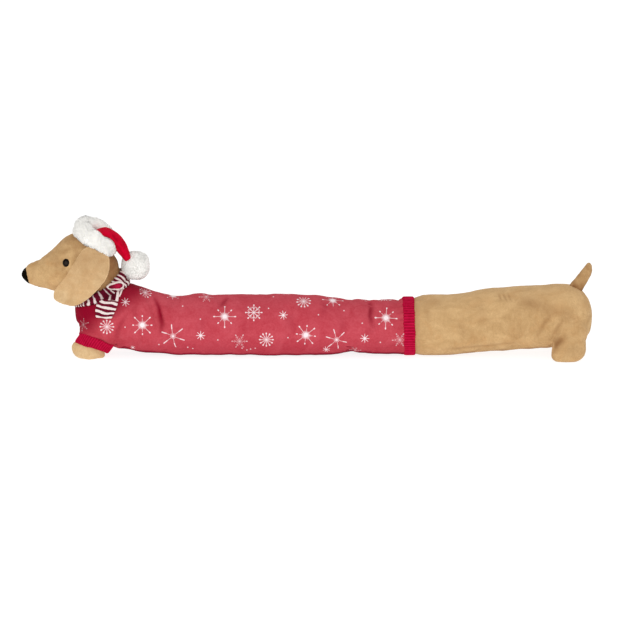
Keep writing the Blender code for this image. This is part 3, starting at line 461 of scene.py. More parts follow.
def swell(piece, held, growth, cap):
    """Lets the cloth swell over its filling."""
    rest = spots(piece)
    group = piece.vertex_groups.new(name="held")
    for i, weight in enumerate(held):
        group.add([i], float(weight), "REPLACE")
    cloth = piece.modifiers.new("Cloth", "CLOTH")
    settings = cloth.settings
    for key, value in CLOTH.items():
        setattr(settings, key, value)
    settings.shrink_min = settings.shrink_max = -growth
    settings.vertex_group_mass = "held"
    settings.effector_weights.gravity = 0.0
    cloth.collision_settings.use_collision = False
    scene = bpy.context.scene
    for number in range(1, SWELL_FRAMES + 1):
        scene.frame_set(number)
    move = spots(piece.evaluated_get(bpy.context.evaluated_depsgraph_get())) - rest
    piece.modifiers.clear()
    piece.vertex_groups.clear()
    scene.frame_set(1)
    length = np.linalg.norm(move, axis=1, keepdims=True)
    move *= np.tanh(length / cap) * cap / np.maximum(length, 1e-9)
    put(piece, rest + move)


def filled(piece, node, held):
    """Fills a skin and splits its cells. held is 1 where a seam holds it still, and 0 where it is free."""
    swell(piece, held, SKINS[node].growth, SKINS[node].cap)
    settle(piece, ("SUBSURF", {"levels": 1}))


def along_path(across, up, path):
    """How far each place is from a path, and how far along the path its nearest point is, from 0 to 1."""
    legs = np.diff(path, axis=0)
    lengths = np.hypot(legs[:, 0], legs[:, 1])
    passed = np.concatenate([[0.0], np.cumsum(lengths)])
    best, share = np.full(len(across), np.inf), np.zeros(len(across))
    for k, leg in enumerate(legs):
        off_x, off_v = across - path[k, 0], up - path[k, 1]
        t = np.clip((off_x * leg[0] + off_v * leg[1]) / lengths[k] ** 2, 0.0, 1.0)
        far = np.hypot(off_x - t * leg[0], off_v - t * leg[1])
        closer = far < best
        best[closer] = far[closer]
        share[closer] = (passed[k] + t * lengths[k])[closer] / passed[-1]
    return best, share


def crease(piece, creases, shift=0.0):
    """Presses each crease into both sides, with a low ridge along it. Returns how shaded each point is."""
    points, normals = spots(piece), outward(piece)
    shade, sink = np.zeros(len(points)), np.zeros(len(points))
    for side in SIDES.values():
        across, up = as_seen(points, side)
        facing = rise(0.05, 0.45, normals[:, 1] * side)
        for line in map(Crease._make, creases):
            path = np.array(line.path) / 1000.0 + np.array((shift if side > 0 else 0.0, 0.0))
            far, share = along_path(across, up, path)
            strength = facing * np.sin(pi * np.clip(share, 0.05, 0.95)) ** 0.6
            q = far * 1000.0 / line.width
            sink += line.depth / 1000.0 * (1 - 0.8 * q * q) * np.exp(-q * q) * strength
            shade += line.shade * np.exp(-1.6 * q * q) * strength
    put(piece, points - normals * sink[:, None])
    return np.clip(shade, 0.0, 1.0)


def pushed(points, pushes):
    """Moves the points near each push by its move, fading with distance. Both sides move alike."""
    near, far = as_seen(points, -1), as_seen(points, 1)
    across, up = (np.where(points[:, 1] > 0, far[k], near[k]) * 1000.0 for k in (0, 1))
    moved = points.copy()
    for push in map(Push._make, pushes):
        fade = np.exp(-((across - push.across) ** 2 + (up - push.up) ** 2) / push.reach**2) / 1000.0
        moved[:, 0] += push.move_x * fade
        moved[:, 2] += push.move_z * fade
    return moved


def above_floor(piece):
    points = spots(piece)
    points[:, 2] = np.maximum(points[:, 2], 0.0)
    return put(piece, points)


# ---- finishes


class Value:
    """A socket in a finish. Arithmetic on it adds the nodes that work it out."""

    def __init__(self, finish, socket):
        self.finish, self.socket = finish, socket

    def sum_of(self, operation, *others):
        return self.finish.add("Math", {"operation": operation}, dict(enumerate((self, *others))))

    def __add__(self, other):
        return self.sum_of("ADD", other)

    def __sub__(self, other):
        return self.sum_of("SUBTRACT", other)

    def __mul__(self, other):
        return self.sum_of("MULTIPLY", other)

    def __truediv__(self, other):
        return self.sum_of("DIVIDE", other)

    def __rsub__(self, other):
        return self.finish.add("Math", {"operation": "SUBTRACT"}, {0: other, 1: self})

    __radd__ = __add__

    def clamped(self):
        return self.finish.add("Clamp", {}, {"Value": self})

    def size(self):
        return self.sum_of("ABSOLUTE")

    def most(self, other):
        return self.sum_of("MAXIMUM", other)


class Finish:
    """A material of this object, built on one Principled shader."""

    def __init__(self, name, roughness, **constants):
        self.material = bpy.data.materials.new(name)
        self.material.use_nodes = True
        self.tree = self.material.node_tree
        self.shader = self.tree.nodes["Principled BSDF"]
        self.feed(self.shader, "Roughness", roughness)
        for key, value in constants.items():
            self.feed(self.shader, key.replace("_", " "), value)

    def feed(self, node, key, value):
        if isinstance(value, Value):
            self.tree.links.new(value.socket, node.inputs[key])
        elif isinstance(value, tuple) and len(node.inputs[key].default_value) == 4:
            node.inputs[key].default_value = (*value, 1.0)
        else:
            node.inputs[key].default_value = value

    def add(self, kind, settings, inputs, output=0):
        """Adds a node: its settings first, then the value or the link of each socket. Returns an output."""
        node = self.tree.nodes.new("ShaderNode" + kind)
        for key, value in settings.items():
            setattr(node, key, value)
        for key, value in inputs.items():
            self.feed(node, key, value)
        return Value(self, node.outputs[output])

    def mix(self, share, first, second):
        """A colour between two colours."""
        return self.add("Mix", {"data_type": "RGBA"}, {0: share, 6: first, 7: second}, 2)

    def grain(self, pitch, detail=3.0, roughness=0.55, twist=0.0, stretch=None, where=None):
        """Even noise from 0 to 1, with one hill to each pitch, over the frame or over another place."""
        where = where or self.add("TexCoord", {}, {}, "Object")
        if stretch:
            where = self.add("VectorMath", {"operation": "MULTIPLY"}, {0: where, 1: stretch})
        inputs = {"Vector": where, "Scale": 1.0 / pitch, "Detail": detail}
        inputs |= {"Roughness": roughness, "Distortion": twist}
        return self.add("TexNoise", {"noise_dimensions": "3D"}, inputs)

    def read(self, name, output="Fac"):
        return self.add("Attribute", {"attribute_name": name}, {}, output)

    def colour(self, value):
        self.feed(self.shader, "Base Color", value)

    def bump(self, height, depth, strength=1.0):
        made = self.add("Bump", {}, {"Height": height, "Distance": depth, "Strength": strength})
        self.feed(self.shader, "Normal", made)


def spread(value, gain, middle=0.5):
    """Widens a noise value round its middle and holds it between 0 and 1."""
    return ((value - middle) * gain + 0.5).clamped()


def plush_finish(name, light, deep, shadow):
    """Short cut pile: brushed patches light and dark, a fine mottle, and painted shade and painted highlights
    from the pieces' labels.
    """
    plush = Finish(name, 0.9, Specular_IOR_Level=0.12, Sheen_Weight=0.08, Sheen_Tint=(1.0, 0.88, 0.70))
    patches = spread(plush.grain(0.040, 4.0, 0.6, 1.6, (0.8, 1.0, 1.2)), 3.4)
    strokes = spread(plush.grain(0.0095, 4.0, 0.65, 1.4, (1.0, 1.0, 0.6)), 2.8)
    warm = spread(plush.grain(0.046, 3.0, 0.65, 1.0, (1.0, 1.0, 1.3)), 3.4, 0.62)
    nap = plush.grain(0.0020, 3.0, 0.7)
    base = plush.mix(patches * 0.58 + strokes * 0.42, deep, light)
    base = plush.mix(warm * 0.50, base, (deep[0] * 1.10, deep[1] * 0.93, deep[2] * 0.78))
    base = plush.mix(spread(nap, 2.6) * 0.34, base, tuple(c * 0.70 for c in deep))
    # Painted highlight: lit rims and tops are painted lighter.
    base = plush.mix(plush.read("painted_highlight"), base, tuple(min(1.0, c * 1.22) for c in light))
    # Painted shade: creases, hollows and undersides are painted towards the shadow colour.
    plush.colour(plush.mix(plush.read("shade") * 0.85, base, shadow))
    plush.bump(nap + strokes * 1.2, 0.0010, 0.45)
    return plush.material


def folded(reach, angle, arms, turn=0.0):
    """A place folded into one arm of a star: how far along the arm, and how far off it."""
    slice_of = TURN / arms
    away = ((angle / slice_of + turn + 8.5).sum_of("FRACT") - 0.5) * slice_of
    return reach * away.sum_of("COSINE"), (reach * away.sum_of("SINE")).size()


def forked(arm, start):
    """The side arm that leaves an arm at start, half a right angle off it."""
    along, off = (arm[0] - start) * HALF_RIGHT, arm[1] * HALF_RIGHT
    return along + off, (off - along).size()


def bar(arm, start, end, half_width):
    """Ink along an arm from start to end, with round ends. Lengths here are in millimetres."""
    along, off = arm
    past = (start - along).most(along - end).most(0.0)
    distance = (past * past + off * off).sum_of("SQRT")
    return disc(distance, half_width)


def disc(reach, radius, edge=0.75):
    """Ink round a middle, fading over its edge."""
    return ((radius - reach) / edge + 0.5).clamped()


def together(*inks):
    most = inks[0]
    for ink in inks[1:]:
        most = most.most(ink)
    return most


def snow_ink(cloth):
    """How much ink lies at a point: the chart gives the nearest motif's kind and the place on it."""
    split = cloth.add("SeparateXYZ", {}, {"Vector": cloth.read("print", "Vector")})
    across, up, kind = (Value(cloth, split.socket.node.outputs[i]) for i in range(3))
    flat = cloth.add("CombineXYZ", {}, {0: across, 1: up})
    reach = cloth.add("VectorMath", {"operation": "LENGTH"}, {0: flat}, 1)
    angle = up.sum_of("ARCTAN2", across)
    long, six, eight, twelve = (folded(reach, angle, arms) for arms in (4, 6, 8, 12))
    short = folded(reach, angle, 4, 0.5)
    branch, tip = forked(six, 7.2), forked(eight, 7.7)
    fluff = spread(cloth.grain(0.0024, 4.0, 0.75), 2.6)
    way = cloth.add("VectorMath", {"operation": "NORMALIZE"}, {0: flat})
    rays = spread(cloth.grain(0.17, 3.0, 0.8, where=way), 3.0)
    inks = {
        "tuft": together(
            disc(reach + fluff * 1.8, 5.2, 1.6),
            disc(reach + rays * 4.6 + fluff * 1.6, 9.8, 2.6) * 0.62,
            bar(long, 0.0, 16.8, 0.36) * 0.86,
            bar(long, 17.6, 19.0, 1.05) * 0.94,
            bar(short, 0.0, 11.5, 0.26) * 0.86,
            bar(short, 15.2, 16.6, 1.00) * 0.90,
        ),
        "burst": together(
            disc(reach + rays * 1.6, 2.8, 1.6),
            bar(six, 0.0, 13.0, 0.30) * 0.86,
            bar(six, 13.6, 21.0, 0.85) * 0.90,
            bar(twelve, 0.0, 5.4, 0.34),
        ),
        "spark": together(
            disc(reach, 2.0, 1.4),
            bar((eight[0], eight[1] * (1.0 + eight[0] * 0.10)), 0.0, 7.4, 0.70),
        ),
        "dandelion": together(
            disc(reach, 1.7),
            disc((reach - 5.0).size(), 0.10) * 0.7,
            bar(twelve, 2.0, 10.8, 0.42),
            bar(twelve, 10.9, 11.7, 1.20),
        ) * 0.90,
        "branched": together(
            bar(eight, 0.0, 14.0, 0.50),
            bar(tip, 0.0, 4.9, 0.45),
            disc((eight[0] - 15.2).size().most(eight[1]), 1.15),
        ),
        "frost": together(
            disc(reach, 1.9, 1.2),
            bar(six, 1.8, 12.2, 0.30),
            bar(branch, 0.0, 3.1, 0.30),
            bar(twelve, 2.9, 6.4, 0.30),
            bar(six, 12.8, 13.8, 1.00),
        ) * (0.30 + fluff * 0.46),
        "dot": disc(reach, 1.15) * 0.75,
    }
    ink = 0.0
    for name, made in inks.items():
        chosen = (1.0 - (kind - float(KINDS.index(name))).size() * 2.0).clamped()
        ink = made * chosen + ink
    return ink


def jersey_finish():
    """Brushed red jersey with the snowflake print in white ink, and painted shade from the shade label."""
    tint = (1.0, 0.5, 0.55)
    jersey = Finish("printed_jersey", 0.85, Specular_IOR_Level=0.03, Sheen_Weight=0.02, Sheen_Tint=tint)
    patches = spread(jersey.grain(0.030, 3.0, 0.6, 1.0), 2.4)
    flecks = spread(jersey.grain(0.0036, 3.0, 0.7), 2.2)
    shade = jersey.read("shade")
    base = jersey.mix(patches * 0.55 + flecks * 0.45, (0.462, 0.039, 0.058), (0.600, 0.094, 0.121))
    # Painted shade, and a deeper painted shade along the underside edge where the label passes 1.
    base = jersey.mix(shade, base, (0.262, 0.0020, 0.0190))
    base = jersey.mix(((shade - 1.0) * 0.8).clamped(), base, (0.100, 0.0030, 0.0160))
    rub = jersey.grain(0.0011, 2.0, 0.7)
    # The print is painted dimmer where painted shade lies on it.
    ink = snow_ink(jersey) * (0.84 + spread(rub, 1.6) * 0.16) * (1.0 - shade.clamped() * 0.42)
    jersey.colour(jersey.mix(ink, base, (0.985, 0.885, 0.905)))
    jersey.bump(rub + flecks * 0.6 + ink * 0.3, 0.0005, 0.30)
    return jersey.material


def rib_finish():
    """Rib knit: stitches up each rib, with painted shade deep red in the furrows and a painted highlight on
    the crowns.
    """
    rib = Finish("rib_knit", 0.9, Specular_IOR_Level=0.03, Sheen_Weight=0.02, Sheen_Tint=(1.0, 0.3, 0.4))
    crown = rib.read("crown")
    stitches = (rib.read("stitch") * TURN).sum_of("SINE") * 0.5 + 0.5
    wear = spread(rib.grain(0.0070, 2.0), 2.4)
    # Painted shade in the furrows and a painted highlight on the crowns and on their stitches; wear varies at
    # random.
    base = rib.mix((crown * 0.60 + wear * 0.40).clamped(), (0.300, 0.0006, 0.017), (0.590, 0.0075, 0.058))
    rib.colour(rib.mix(stitches * crown * 0.10, base, (0.680, 0.020, 0.085)))
    rib.bump(stitches * 0.6 + rib.grain(0.0008, 2.0) * 0.6, 0.0004, 0.5)
    return rib.material


def stripe_finish():
    """Knitted stripes across the scarf, maroon and off-white, their rows puffed between stitches, with painted
    shade and painted highlights.
    """
    knit = Finish("striped_knit", 0.9, Specular_IOR_Level=0.05, Sheen_Weight=0.03)
    shade = knit.read("shade")
    wave = (knit.read("stripe") * TURN + (knit.grain(0.006, 2.0) - 0.5) * 1.4).sum_of("COSINE")
    # Painted shade thins the pale stripes.
    white = (wave * 3.0 + 0.10 - shade * 2.3).clamped()
    stitch = (knit.read("row") * TURN).sum_of("SINE") * 0.5 + 0.5
    fuzz = spread(knit.grain(0.0016, 2.0, 0.7), 1.6)
    dark = knit.mix(fuzz, (0.070, 0.0008, 0.0075), (0.215, 0.0045, 0.028))
    # Painted highlight: the maroon is painted brighter red.
    dark = knit.mix(knit.read("painted_highlight"), dark, (0.520, 0.010, 0.056))
    pale = knit.mix(fuzz, (0.760, 0.600, 0.570), (0.950, 0.880, 0.840))
    # Painted shade darkens everything towards near black.
    knit.colour(knit.mix(shade * 0.62, knit.mix(white, dark, pale), (0.050, 0.0008, 0.0060)))
    knit.bump(stitch + fuzz * 0.7, 0.0007, 0.5)
    return knit.material


def fleece_finish():
    """Off-white fleece. Each lock has its own tone, and the depth between locks is painted greyer, as painted
    shade. A faint glow is painted light.
    """
    # Painted light: the fleece glows a little, though it is no lamp.
    fleece = Finish("white_fleece", 0.95, Specular_IOR_Level=0.1, Sheen_Weight=0.10, Emission_Strength=0.13)
    fleece.feed(fleece.shader, "Emission Color", (1.0, 0.985, 0.945))
    # Here the shade label runs the other way: low is the painted shade at the roots and between the locks,
    # high is lighter.
    tone = (fleece.read("shade") * 0.7 + spread(fleece.grain(0.010, 2.0), 1.6) * 0.3).clamped()
    fleece.colour(fleece.mix(tone, (0.860, 0.842, 0.795), (0.975, 0.960, 0.922)))
    fleece.bump(fleece.grain(0.0020, 3.0, 0.7), 0.0006, 0.4)
    return fleece.material


def velour_finish():
    """The hat's red velour: its own red on the crowns of its folds, and painted shade in them."""
    tint = (1.0, 0.3, 0.35)
    velour = Finish("hat_velvet", 0.8, Specular_IOR_Level=0.03, Sheen_Weight=0.03, Sheen_Tint=tint)
    pile = spread(velour.grain(0.0075, 3.0, 0.6, 0.6), 2.2)
    base = velour.mix(pile, (0.465, 0.0004, 0.014), (0.650, 0.0016, 0.029))
    # Painted shade in the folds.
    velour.colour(velour.mix(velour.read("shade") * 0.8, base, (0.240, 0.0008, 0.010)))
    velour.bump(velour.grain(0.0011, 2.0, 0.7), 0.0005, 0.4)
    return velour.material


def felt_finish():
    felt = Finish("nose_felt", 0.95, Specular_IOR_Level=0.02)
    felt.colour(felt.mix(felt.grain(0.0016, 3.0), (0.0020, 0.0012, 0.0005), (0.0060, 0.0042, 0.0020)))
    felt.bump(felt.grain(0.0008, 3.0, 0.7), 0.0005, 0.6)
    return felt.material


def bead_finish():
    bead = Finish("eye_bead", 0.30, Specular_IOR_Level=0.05, Coat_Weight=0.04, Coat_Roughness=0.12)
    # Painted highlight: a lighter brown middle, painted towards near black at the rim as painted shade.
    heart = bead.mix(bead.grain(0.004, 2.0), (0.0200, 0.0140, 0.0100), (0.0340, 0.0240, 0.0180))
    bead.colour(bead.mix(bead.read("shade"), heart, (0.0030, 0.0012, 0.0004)))
    return bead.material


def floor_finish():
    paper = Finish("floor_paper", 0.95, Specular_IOR_Level=0.1, Emission_Strength=0.86)
    paper.colour(paper.mix(paper.grain(0.4, 2.0), (0.300, 0.300, 0.300), (0.315, 0.315, 0.315)))
    paper.feed(paper.shader, "Emission Color", (1.0, 1.0, 1.0))
    return paper.material


# ---- the filled body


def ready(piece, node, finish):
    """Gives a piece its finish and its body, and hides the solid it replaces."""
    piece.data.materials.clear()
    piece.data.materials.append(finish)
    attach(piece, "root")
    if node:
        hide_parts(node)
    return piece


def lay_print(piece):
    """Charts the print on the cloth: the corner of each face learns the nearest motif and its place on it."""
    mesh = piece.data
    points, normals = spots(piece), outward(piece)
    corner_point = read(mesh.loops, "vertex_index", kind=int)
    sizes = read(mesh.polygons, "loop_total", kind=int)
    corner_face = np.repeat(np.arange(len(sizes)), sizes)
    middles = read(mesh.polygons, "center", 3)
    chart = [(kind, Motif(*row)) for kind, rows in CHART.items() for row in rows]
    low, high = PRINT_SPAN
    nearest = np.full(len(sizes), np.inf)
    local = np.zeros((len(corner_point), 3))
    for side in SIDES.values():
        across, up = as_seen(points, side)
        seen = normals[:, 1] * side > (-0.05 if side < 0 else 0.10)
        for kind, motif in chart:
            x = motif.across
            if side > 0:
                x = low + (x - low + FAR_SHIFT) % (high - low)
            off = np.hypot(across - x, up - motif.up) + 1.0 * ~seen
            spot = int(off.argmin())
            if off[spot] > SNAP or (side > 0 and motif.up > FAR_TOP):
                continue
            centre, normal = points[spot], normals[spot]
            along = np.array((1.0, 0.0, 0.0)) - normal * normal[0]
            along /= np.linalg.norm(along)
            rising = np.cross(along, normal) * side
            distance = np.linalg.norm(middles - centre, axis=1) / (REACH[kind] * motif.size / 1000.0)
            taken = (distance < 1.0) & (distance < nearest)
            nearest[taken] = distance[taken]
            corners = np.flatnonzero(taken[corner_face])
            picked = corner_point[corners]
            away = (points[picked] - centre) * 1000.0 / motif.size
            # Near the top the filling stretches a print a little, so part of its height is taken as seen.
            u, laid = away @ along, away @ rising
            v = laid * 0.35 + (up[picked] - up[spot]) * 650.0 / motif.size
            v = np.where(np.abs(v) < 0.62 * np.abs(laid), 0.62 * laid, v)
            turn = radians(motif.turn_deg)
            local[corners, 0] = u * cos(turn) + v * sin(turn)
            local[corners, 1] = v * cos(turn) - u * sin(turn)
            local[corners, 2] = KINDS.index(kind)
    label(piece, "print", local, "CORNER", "FLOAT_VECTOR")


def below_collar(points):
    return (points - np.array(NECK_MIDDLE)) @ np.array(NECK_DOWN)


def round_hem(points):
    return np.arctan2(-points[:, 1], points[:, 2] - HEM_CENTRE_Z)


def near_cuff(points):
    """How far each point lies above the top of a front leg's rib band, and its share in that leg, 1 to 0."""
    away = points - np.array(CUFF_TOP)
    share = fall(CUFF_HALF_LENGTH + 0.001, CUFF_HALF_LENGTH + 0.009, np.abs(away @ CUFF_FORWARD))
    return -away @ LEG_DOWN, share * rise(0.003, 0.011, np.abs(points[:, 1]))


def splayed(piece, set_back=0.0):
    """Raises the outer side of each front leg's rib band, and the cloth above and below it."""
    points = spots(piece)
    along = (points - np.array(CUFF_TOP)) @ CUFF_FORWARD - set_back
    beside = (np.abs(points[:, 1]) - FRONT_LEG_Y) / CUFF_HALF_WIDTH
    ends = fall(0.45, 1.30, np.abs(along + 0.004) / CUFF_HALF_LENGTH)
    points[:, 2] += SPLAY * rise(-0.2, 0.9, beside) * ends * hump(near_cuff(points)[0], -0.007, 0.016)
    return put(piece, points)


def close_edges(piece):
    """Draws the jumper's cloth out to the edge of each rib band, and a little way under it or over it."""
    points = spots(piece)
    x, y, z = points.T
    at_hem = rise(0.1585, 0.1690, x)
    rim = 0.0008
    radius = np.hypot(y / (HEM_HALF_WIDTH - rim), (z - HEM_CENTRE_Z) / (HEM_HALF_HEIGHT - rim))
    grow = 1 + at_hem * (1 / np.maximum(radius, 0.3) - 1) * (radius > 0.72)
    y *= grow
    z[:] = HEM_CENTRE_Z + (z - HEM_CENTRE_Z) * grow
    x += HEM_TUCK * rise(0.1610, 0.1700, x)
    above, leg = near_cuff(points)
    points += LEG_DOWN * CUFF_TUCK * (leg * fall(0.0, 0.010, above))[:, None]
    middle, down = np.array(NECK_MIDDLE), np.array(NECK_DOWN)
    collar = below_collar(points)
    towards_nape = (points - middle) @ np.array(NECK_UP) / 0.049
    tuck = (fall(0.0, 0.014, collar) * fall(-0.95, -0.05, towards_nape))[:, None]
    away = points - middle - collar[:, None] * down
    away /= np.maximum(np.linalg.norm(away, axis=1, keepdims=True), 1e-9)
    put(piece, points + (away * COLLAR_STAND - down * COLLAR_TUCK) * tuck)


def make_jumper(finish):
    """The printed jumper: swelled cloth, raglan sleeves, puckers at its hem, and its print."""
    piece = woven("jumper_cloth", "jumper")
    points = spots(piece)
    x, _, z = points.T
    collar = below_collar(points)
    above, leg = near_cuff(points)
    at_cuff = leg * fall(0.003, 0.010, above)
    held = [fall(0.002, 0.012, collar), rise(0.160, 0.168, x), at_cuff, fall(0.005, 0.026, z)]
    # The shoulder is one cloth with the chest, so the angle where the sleeve leaves it is eased.
    ease = (1 - at_cuff) * fall(-0.345, -0.300, x)
    ease *= rise(0.002, 0.012, collar)
    ease *= fall(0.075, 0.100, z) * rise(0.024, 0.040, z)
    links = [[] for _ in points]
    for a, b in (edge.vertices for edge in piece.data.edges):
        links[a].append(b)
        links[b].append(a)
    around = np.array([(row * 4)[:4] for row in links])
    points = pushed(points, JUMPER_PUSHES)
    for _ in range(16):
        points += (points[around].mean(axis=1) - points) * 0.6 * ease[:, None]
    put(piece, points)
    filled(piece, "jumper", np.maximum.reduce(held))
    close_edges(piece)

    points = spots(piece)
    x, _, z = points.T
    free = rise(0.0, 0.020, below_collar(points)) * fall(0.150, 0.1685, x)
    ways = relief(points, ((0.026, 0.070, 0.070), 0.0016, 1), ((0.011, 0.024, 0.024), 0.00035, 2))
    angle = round_hem(points) * JUMPER_PUCKERS
    hem = np.exp(-np.maximum(HEM_START_X - x, 0) / 0.010)
    puckers = np.sin(angle + 2.0 * drift(points, 0.05, 3)) * PUCKER_HEIGHT * hem * (hem < 0.97)
    raised(piece, ways * free + puckers)
    # Painted shade: in the creases, between the hem's puckers, on the chest and shoulders under the head and
    # scarf, near the floor, and deepest along the underside.
    creased = crease(piece, JUMPER_CREASES, shift=0.05)
    collar = below_collar(spots(piece))
    chest = fall(-0.390, -0.345, x)
    collar_shade = fall(0.012, 0.046 + 0.026 * chest, collar) * (0.9 + 0.1 * chest)
    pucker_shade = 0.40 * hem * rise(0.1, 0.9, np.sin(angle))
    shade = np.maximum.reduce([creased, pucker_shade, collar_shade, 0.36 * fall(0.006, 0.050, z)])
    label(piece, "shade", shade + 1.6 * rise(0.78, 0.97, -outward(piece)[:, 2]))
    splayed(piece)
    lay_print(above_floor(piece))
    return ready(piece, "jumper", finish)


def make_hindquarters(finish):
    """The plush rear half, its neck held under the rib band."""
    piece = woven("hind_plush", "hindquarters")
    x, _, z = spots(piece).T
    filled(piece, "hindquarters", np.maximum(fall(0.188, 0.196, x), fall(0.002, 0.010, z)))
    points, normals = spots(piece), outward(piece)
    x, _, z = points.T
    free = rise(0.190, 0.200, x) * rise(0.0, 0.006, z)
    gather = np.exp(-np.maximum(x - 0.190, 0) / 0.012)
    ways = relief(points, ((0.020, 0.045, 0.045), 0.0009, 5), ((0.007, 0.007, 0.009), 0.00030, 6))
    ways += np.sin(round_hem(points) * HIND_PUCKERS + 1.0) * PUCKER_HEIGHT * gather
    raised(piece, ways * free)
    # Painted shade along the underside edge, near the gathers at the rib band, and in the creases.
    under = 0.80 * rise(0.80, 0.98, -normals[:, 2])
    shade = crease(piece, HIND_CREASES, shift=-0.012) + 0.35 * gather + under
    put(piece, pushed(spots(piece), HIND_PUSHES))
    label(piece, "shade", np.clip(shade, 0, 1))
    # Painted highlight: the top, and the cloth just behind the rib band, are painted lighter.
    label(piece, "painted_highlight", 0.19 * rise(0.10, 0.75, normals[:, 2]) + 0.07 * fall(0.225, 0.290, x))
    return ready(above_floor(piece), "hindquarters", finish)


def make_tail(finish):
    piece = woven("tail_plush", "tail")
    points, normals = spots(piece), outward(piece)
    points[:, 0] += 0.0024 * np.minimum(normals[:, 0], 0) * fall(0.120, 0.165, points[:, 2])
    put(piece, points + normals * (drift(points, 0.006, 8) * 0.0003)[:, None])
    # The tail is painted darker overall, with painted shade deepening towards its root, and a random mottle.
    root = fall(0.1140, 0.1370, points[:, 2] + 0.35 * (points[:, 0] - 0.47))
    label(piece, "shade", np.clip(0.36 + root * 0.64 + drift(points, 0.008, 7) * 0.3, 0, 1))
    return ready(piece, "tail", finish)


def make_paw(word, side, finish):
    piece = woven("paw_plush_" + word, "paw_" + word)
    points = spots(piece)
    at_cuff = rise(-0.024, -0.016, near_cuff(points)[0])
    filled(piece, "paw", np.maximum(at_cuff, fall(0.001, 0.006, points[:, 2])))
    points = spots(piece)
    above = near_cuff(points)[0]
    raised(piece, drift(points, 0.010, 9) * 0.0005 * fall(-0.022, -0.016, above))
    # Painted shade just below the rib cuff.
    label(piece, "shade", 0.25 * rise(-0.023, -0.018, above))
    splayed(piece, LEG_SET_BACK[word])
    if side > 0:
        points = spots(piece)
        x, _, z = points.T
        x += FAR_PAW_SET_BACK * fall(-0.412, -0.385, x) * rise(0.004, 0.012, z)
        put(piece, points)
    return ready(above_floor(piece), "paw_" + word, finish)


def rib_band(name, centre, ways, halves, width, thickness, ribs):
    """A rib-knit band round a ring. Each rib runs across the band's width, rounded, with a furrow between."""
    long_way, short_way, along_way = (np.array(way) for way in ways)
    edge = width / 2
    rim = [(-1.0, -0.8), (-1.02, 0.2), (-0.96, 0.66), (-0.84, 0.92), (-0.6, 1.0), (-0.3, 1.0)]
    profile = [*rim, (0.0, 1.0), *((-share, out) for share, out in reversed(rim))]
    steps = 6
    rings, crowns, rows = [], [], []
    for i in range(ribs * steps):
        turn = TURN * i / (ribs * steps)
        rib, phase = divmod(i, steps)
        crown = 0.5 - 0.5 * cos(TURN * phase / steps)
        uneven = 1.0 + 0.35 * sin(rib * 1.7) + 0.20 * sin(rib * 5.1)
        ring = []
        for share, out in profile:
            along = edge * share
            lift = thickness * (out - 1.0) + (crown * 0.0012 * uneven - 0.0004) * max(out, 0.0)
            slip = 0.0005 * crown * uneven * along / edge + 0.0004 * sin(rib * 0.9)
            point = np.array(centre) + long_way * (halves[0] + lift) * cos(turn)
            point += short_way * (halves[1] + lift) * sin(turn)
            point += along_way * (along + slip)
            point[2] = max(point[2], 0.0)
            ring.append(point)
            crowns.append(crown * max(out, 0.0))
            rows.append(along / 0.0021)
        rings.append(ring)
    piece = from_rings(name, rings, closed=True)
    # crown marks where the finish paints a highlight on each rib's crown and shade in its furrow.
    label(piece, "crown", crowns)
    label(piece, "stitch", rows)
    return settle(piece, ("SUBSURF", {"levels": 1}))


def make_hem_band(finish):
    centre = Vector((HEM_START_X + HEM_WIDTH / 2 - 0.0008, 0.0, HEM_CENTRE_Z))
    ways = (HEM_TILT, 0.0, 1.0), (0.0, -1.0, 0.0), (1.0, 0.0, 0.0)
    halves = HEM_HALF_HEIGHT, HEM_HALF_WIDTH
    piece = rib_band("hem_rib", centre, ways, halves, HEM_WIDTH + 0.0016, HEM_THICKNESS, HEM_RIBS)
    return ready(piece, "hem_band", finish)


def make_cuff(word, side, finish):
    down = Vector(LEG_DOWN)
    centre = CUFF_TOP + down * CUFF_WIDTH / 2 + Vector(CUFF_FORWARD) * 0.0018
    centre.x += LEG_SET_BACK[word]
    centre.y = side * FRONT_LEG_Y
    ways = CUFF_FORWARD, (0.0, 1.0, 0.0), down
    halves = CUFF_HALF_LENGTH, CUFF_HALF_WIDTH
    piece = rib_band("cuff_rib_" + word, centre, ways, halves, CUFF_WIDTH, CUFF_THICKNESS, CUFF_RIBS)
    splayed(piece, LEG_SET_BACK[word])
    return ready(piece, "sleeve_cuff_" + word, finish)


# ---- the head


def make_head(finish):
    piece = woven("head_plush", "head")
    points = spots(piece)
    at_collar = rise(-0.024, -0.014, below_collar(points))
    filled(piece, "head", np.maximum(at_collar, fall(-0.492, -0.482, points[:, 0])))
    put(piece, pushed(spots(piece), HEAD_PUSHES))
    points = spots(piece)
    x, _, z = points.T
    collar = below_collar(points)
    free = fall(-0.022, -0.014, collar) * rise(-0.492, -0.484, x)
    raised(piece, relief(points, (0.022, 0.0006, 11), ((0.006, 0.006, 0.007), 0.00022, 12)) * free)
    # Painted shade: in the creases, on the brow under the hat brim, on the nape behind the ear, and near the
    # collar; the drift adds a random mottle.
    creased = crease(piece, HEAD_CREASES)
    crown = 0.42 * rise(0.160, 0.215, z) * rise(-0.45, -0.40, x)
    back = 0.96 * rise(-0.362, -0.338, x)
    neck = 0.90 * rise(-0.034, -0.012, collar)
    shade = np.maximum.reduce([creased, crown, back, neck]) + drift(points, 0.011, 13) * 0.24
    label(piece, "shade", np.clip(shade, 0, 1))
    return ready(piece, "head", finish)


def make_nose(finish):
    piece = woven("nose_cap", "nose")
    points = spots(piece)
    still = np.array((points[:, 0].min(), 0.0, points.mean(axis=0)[2]))
    return ready(put(piece, still + (points - still) * NOSE_STRETCH), "nose", finish)


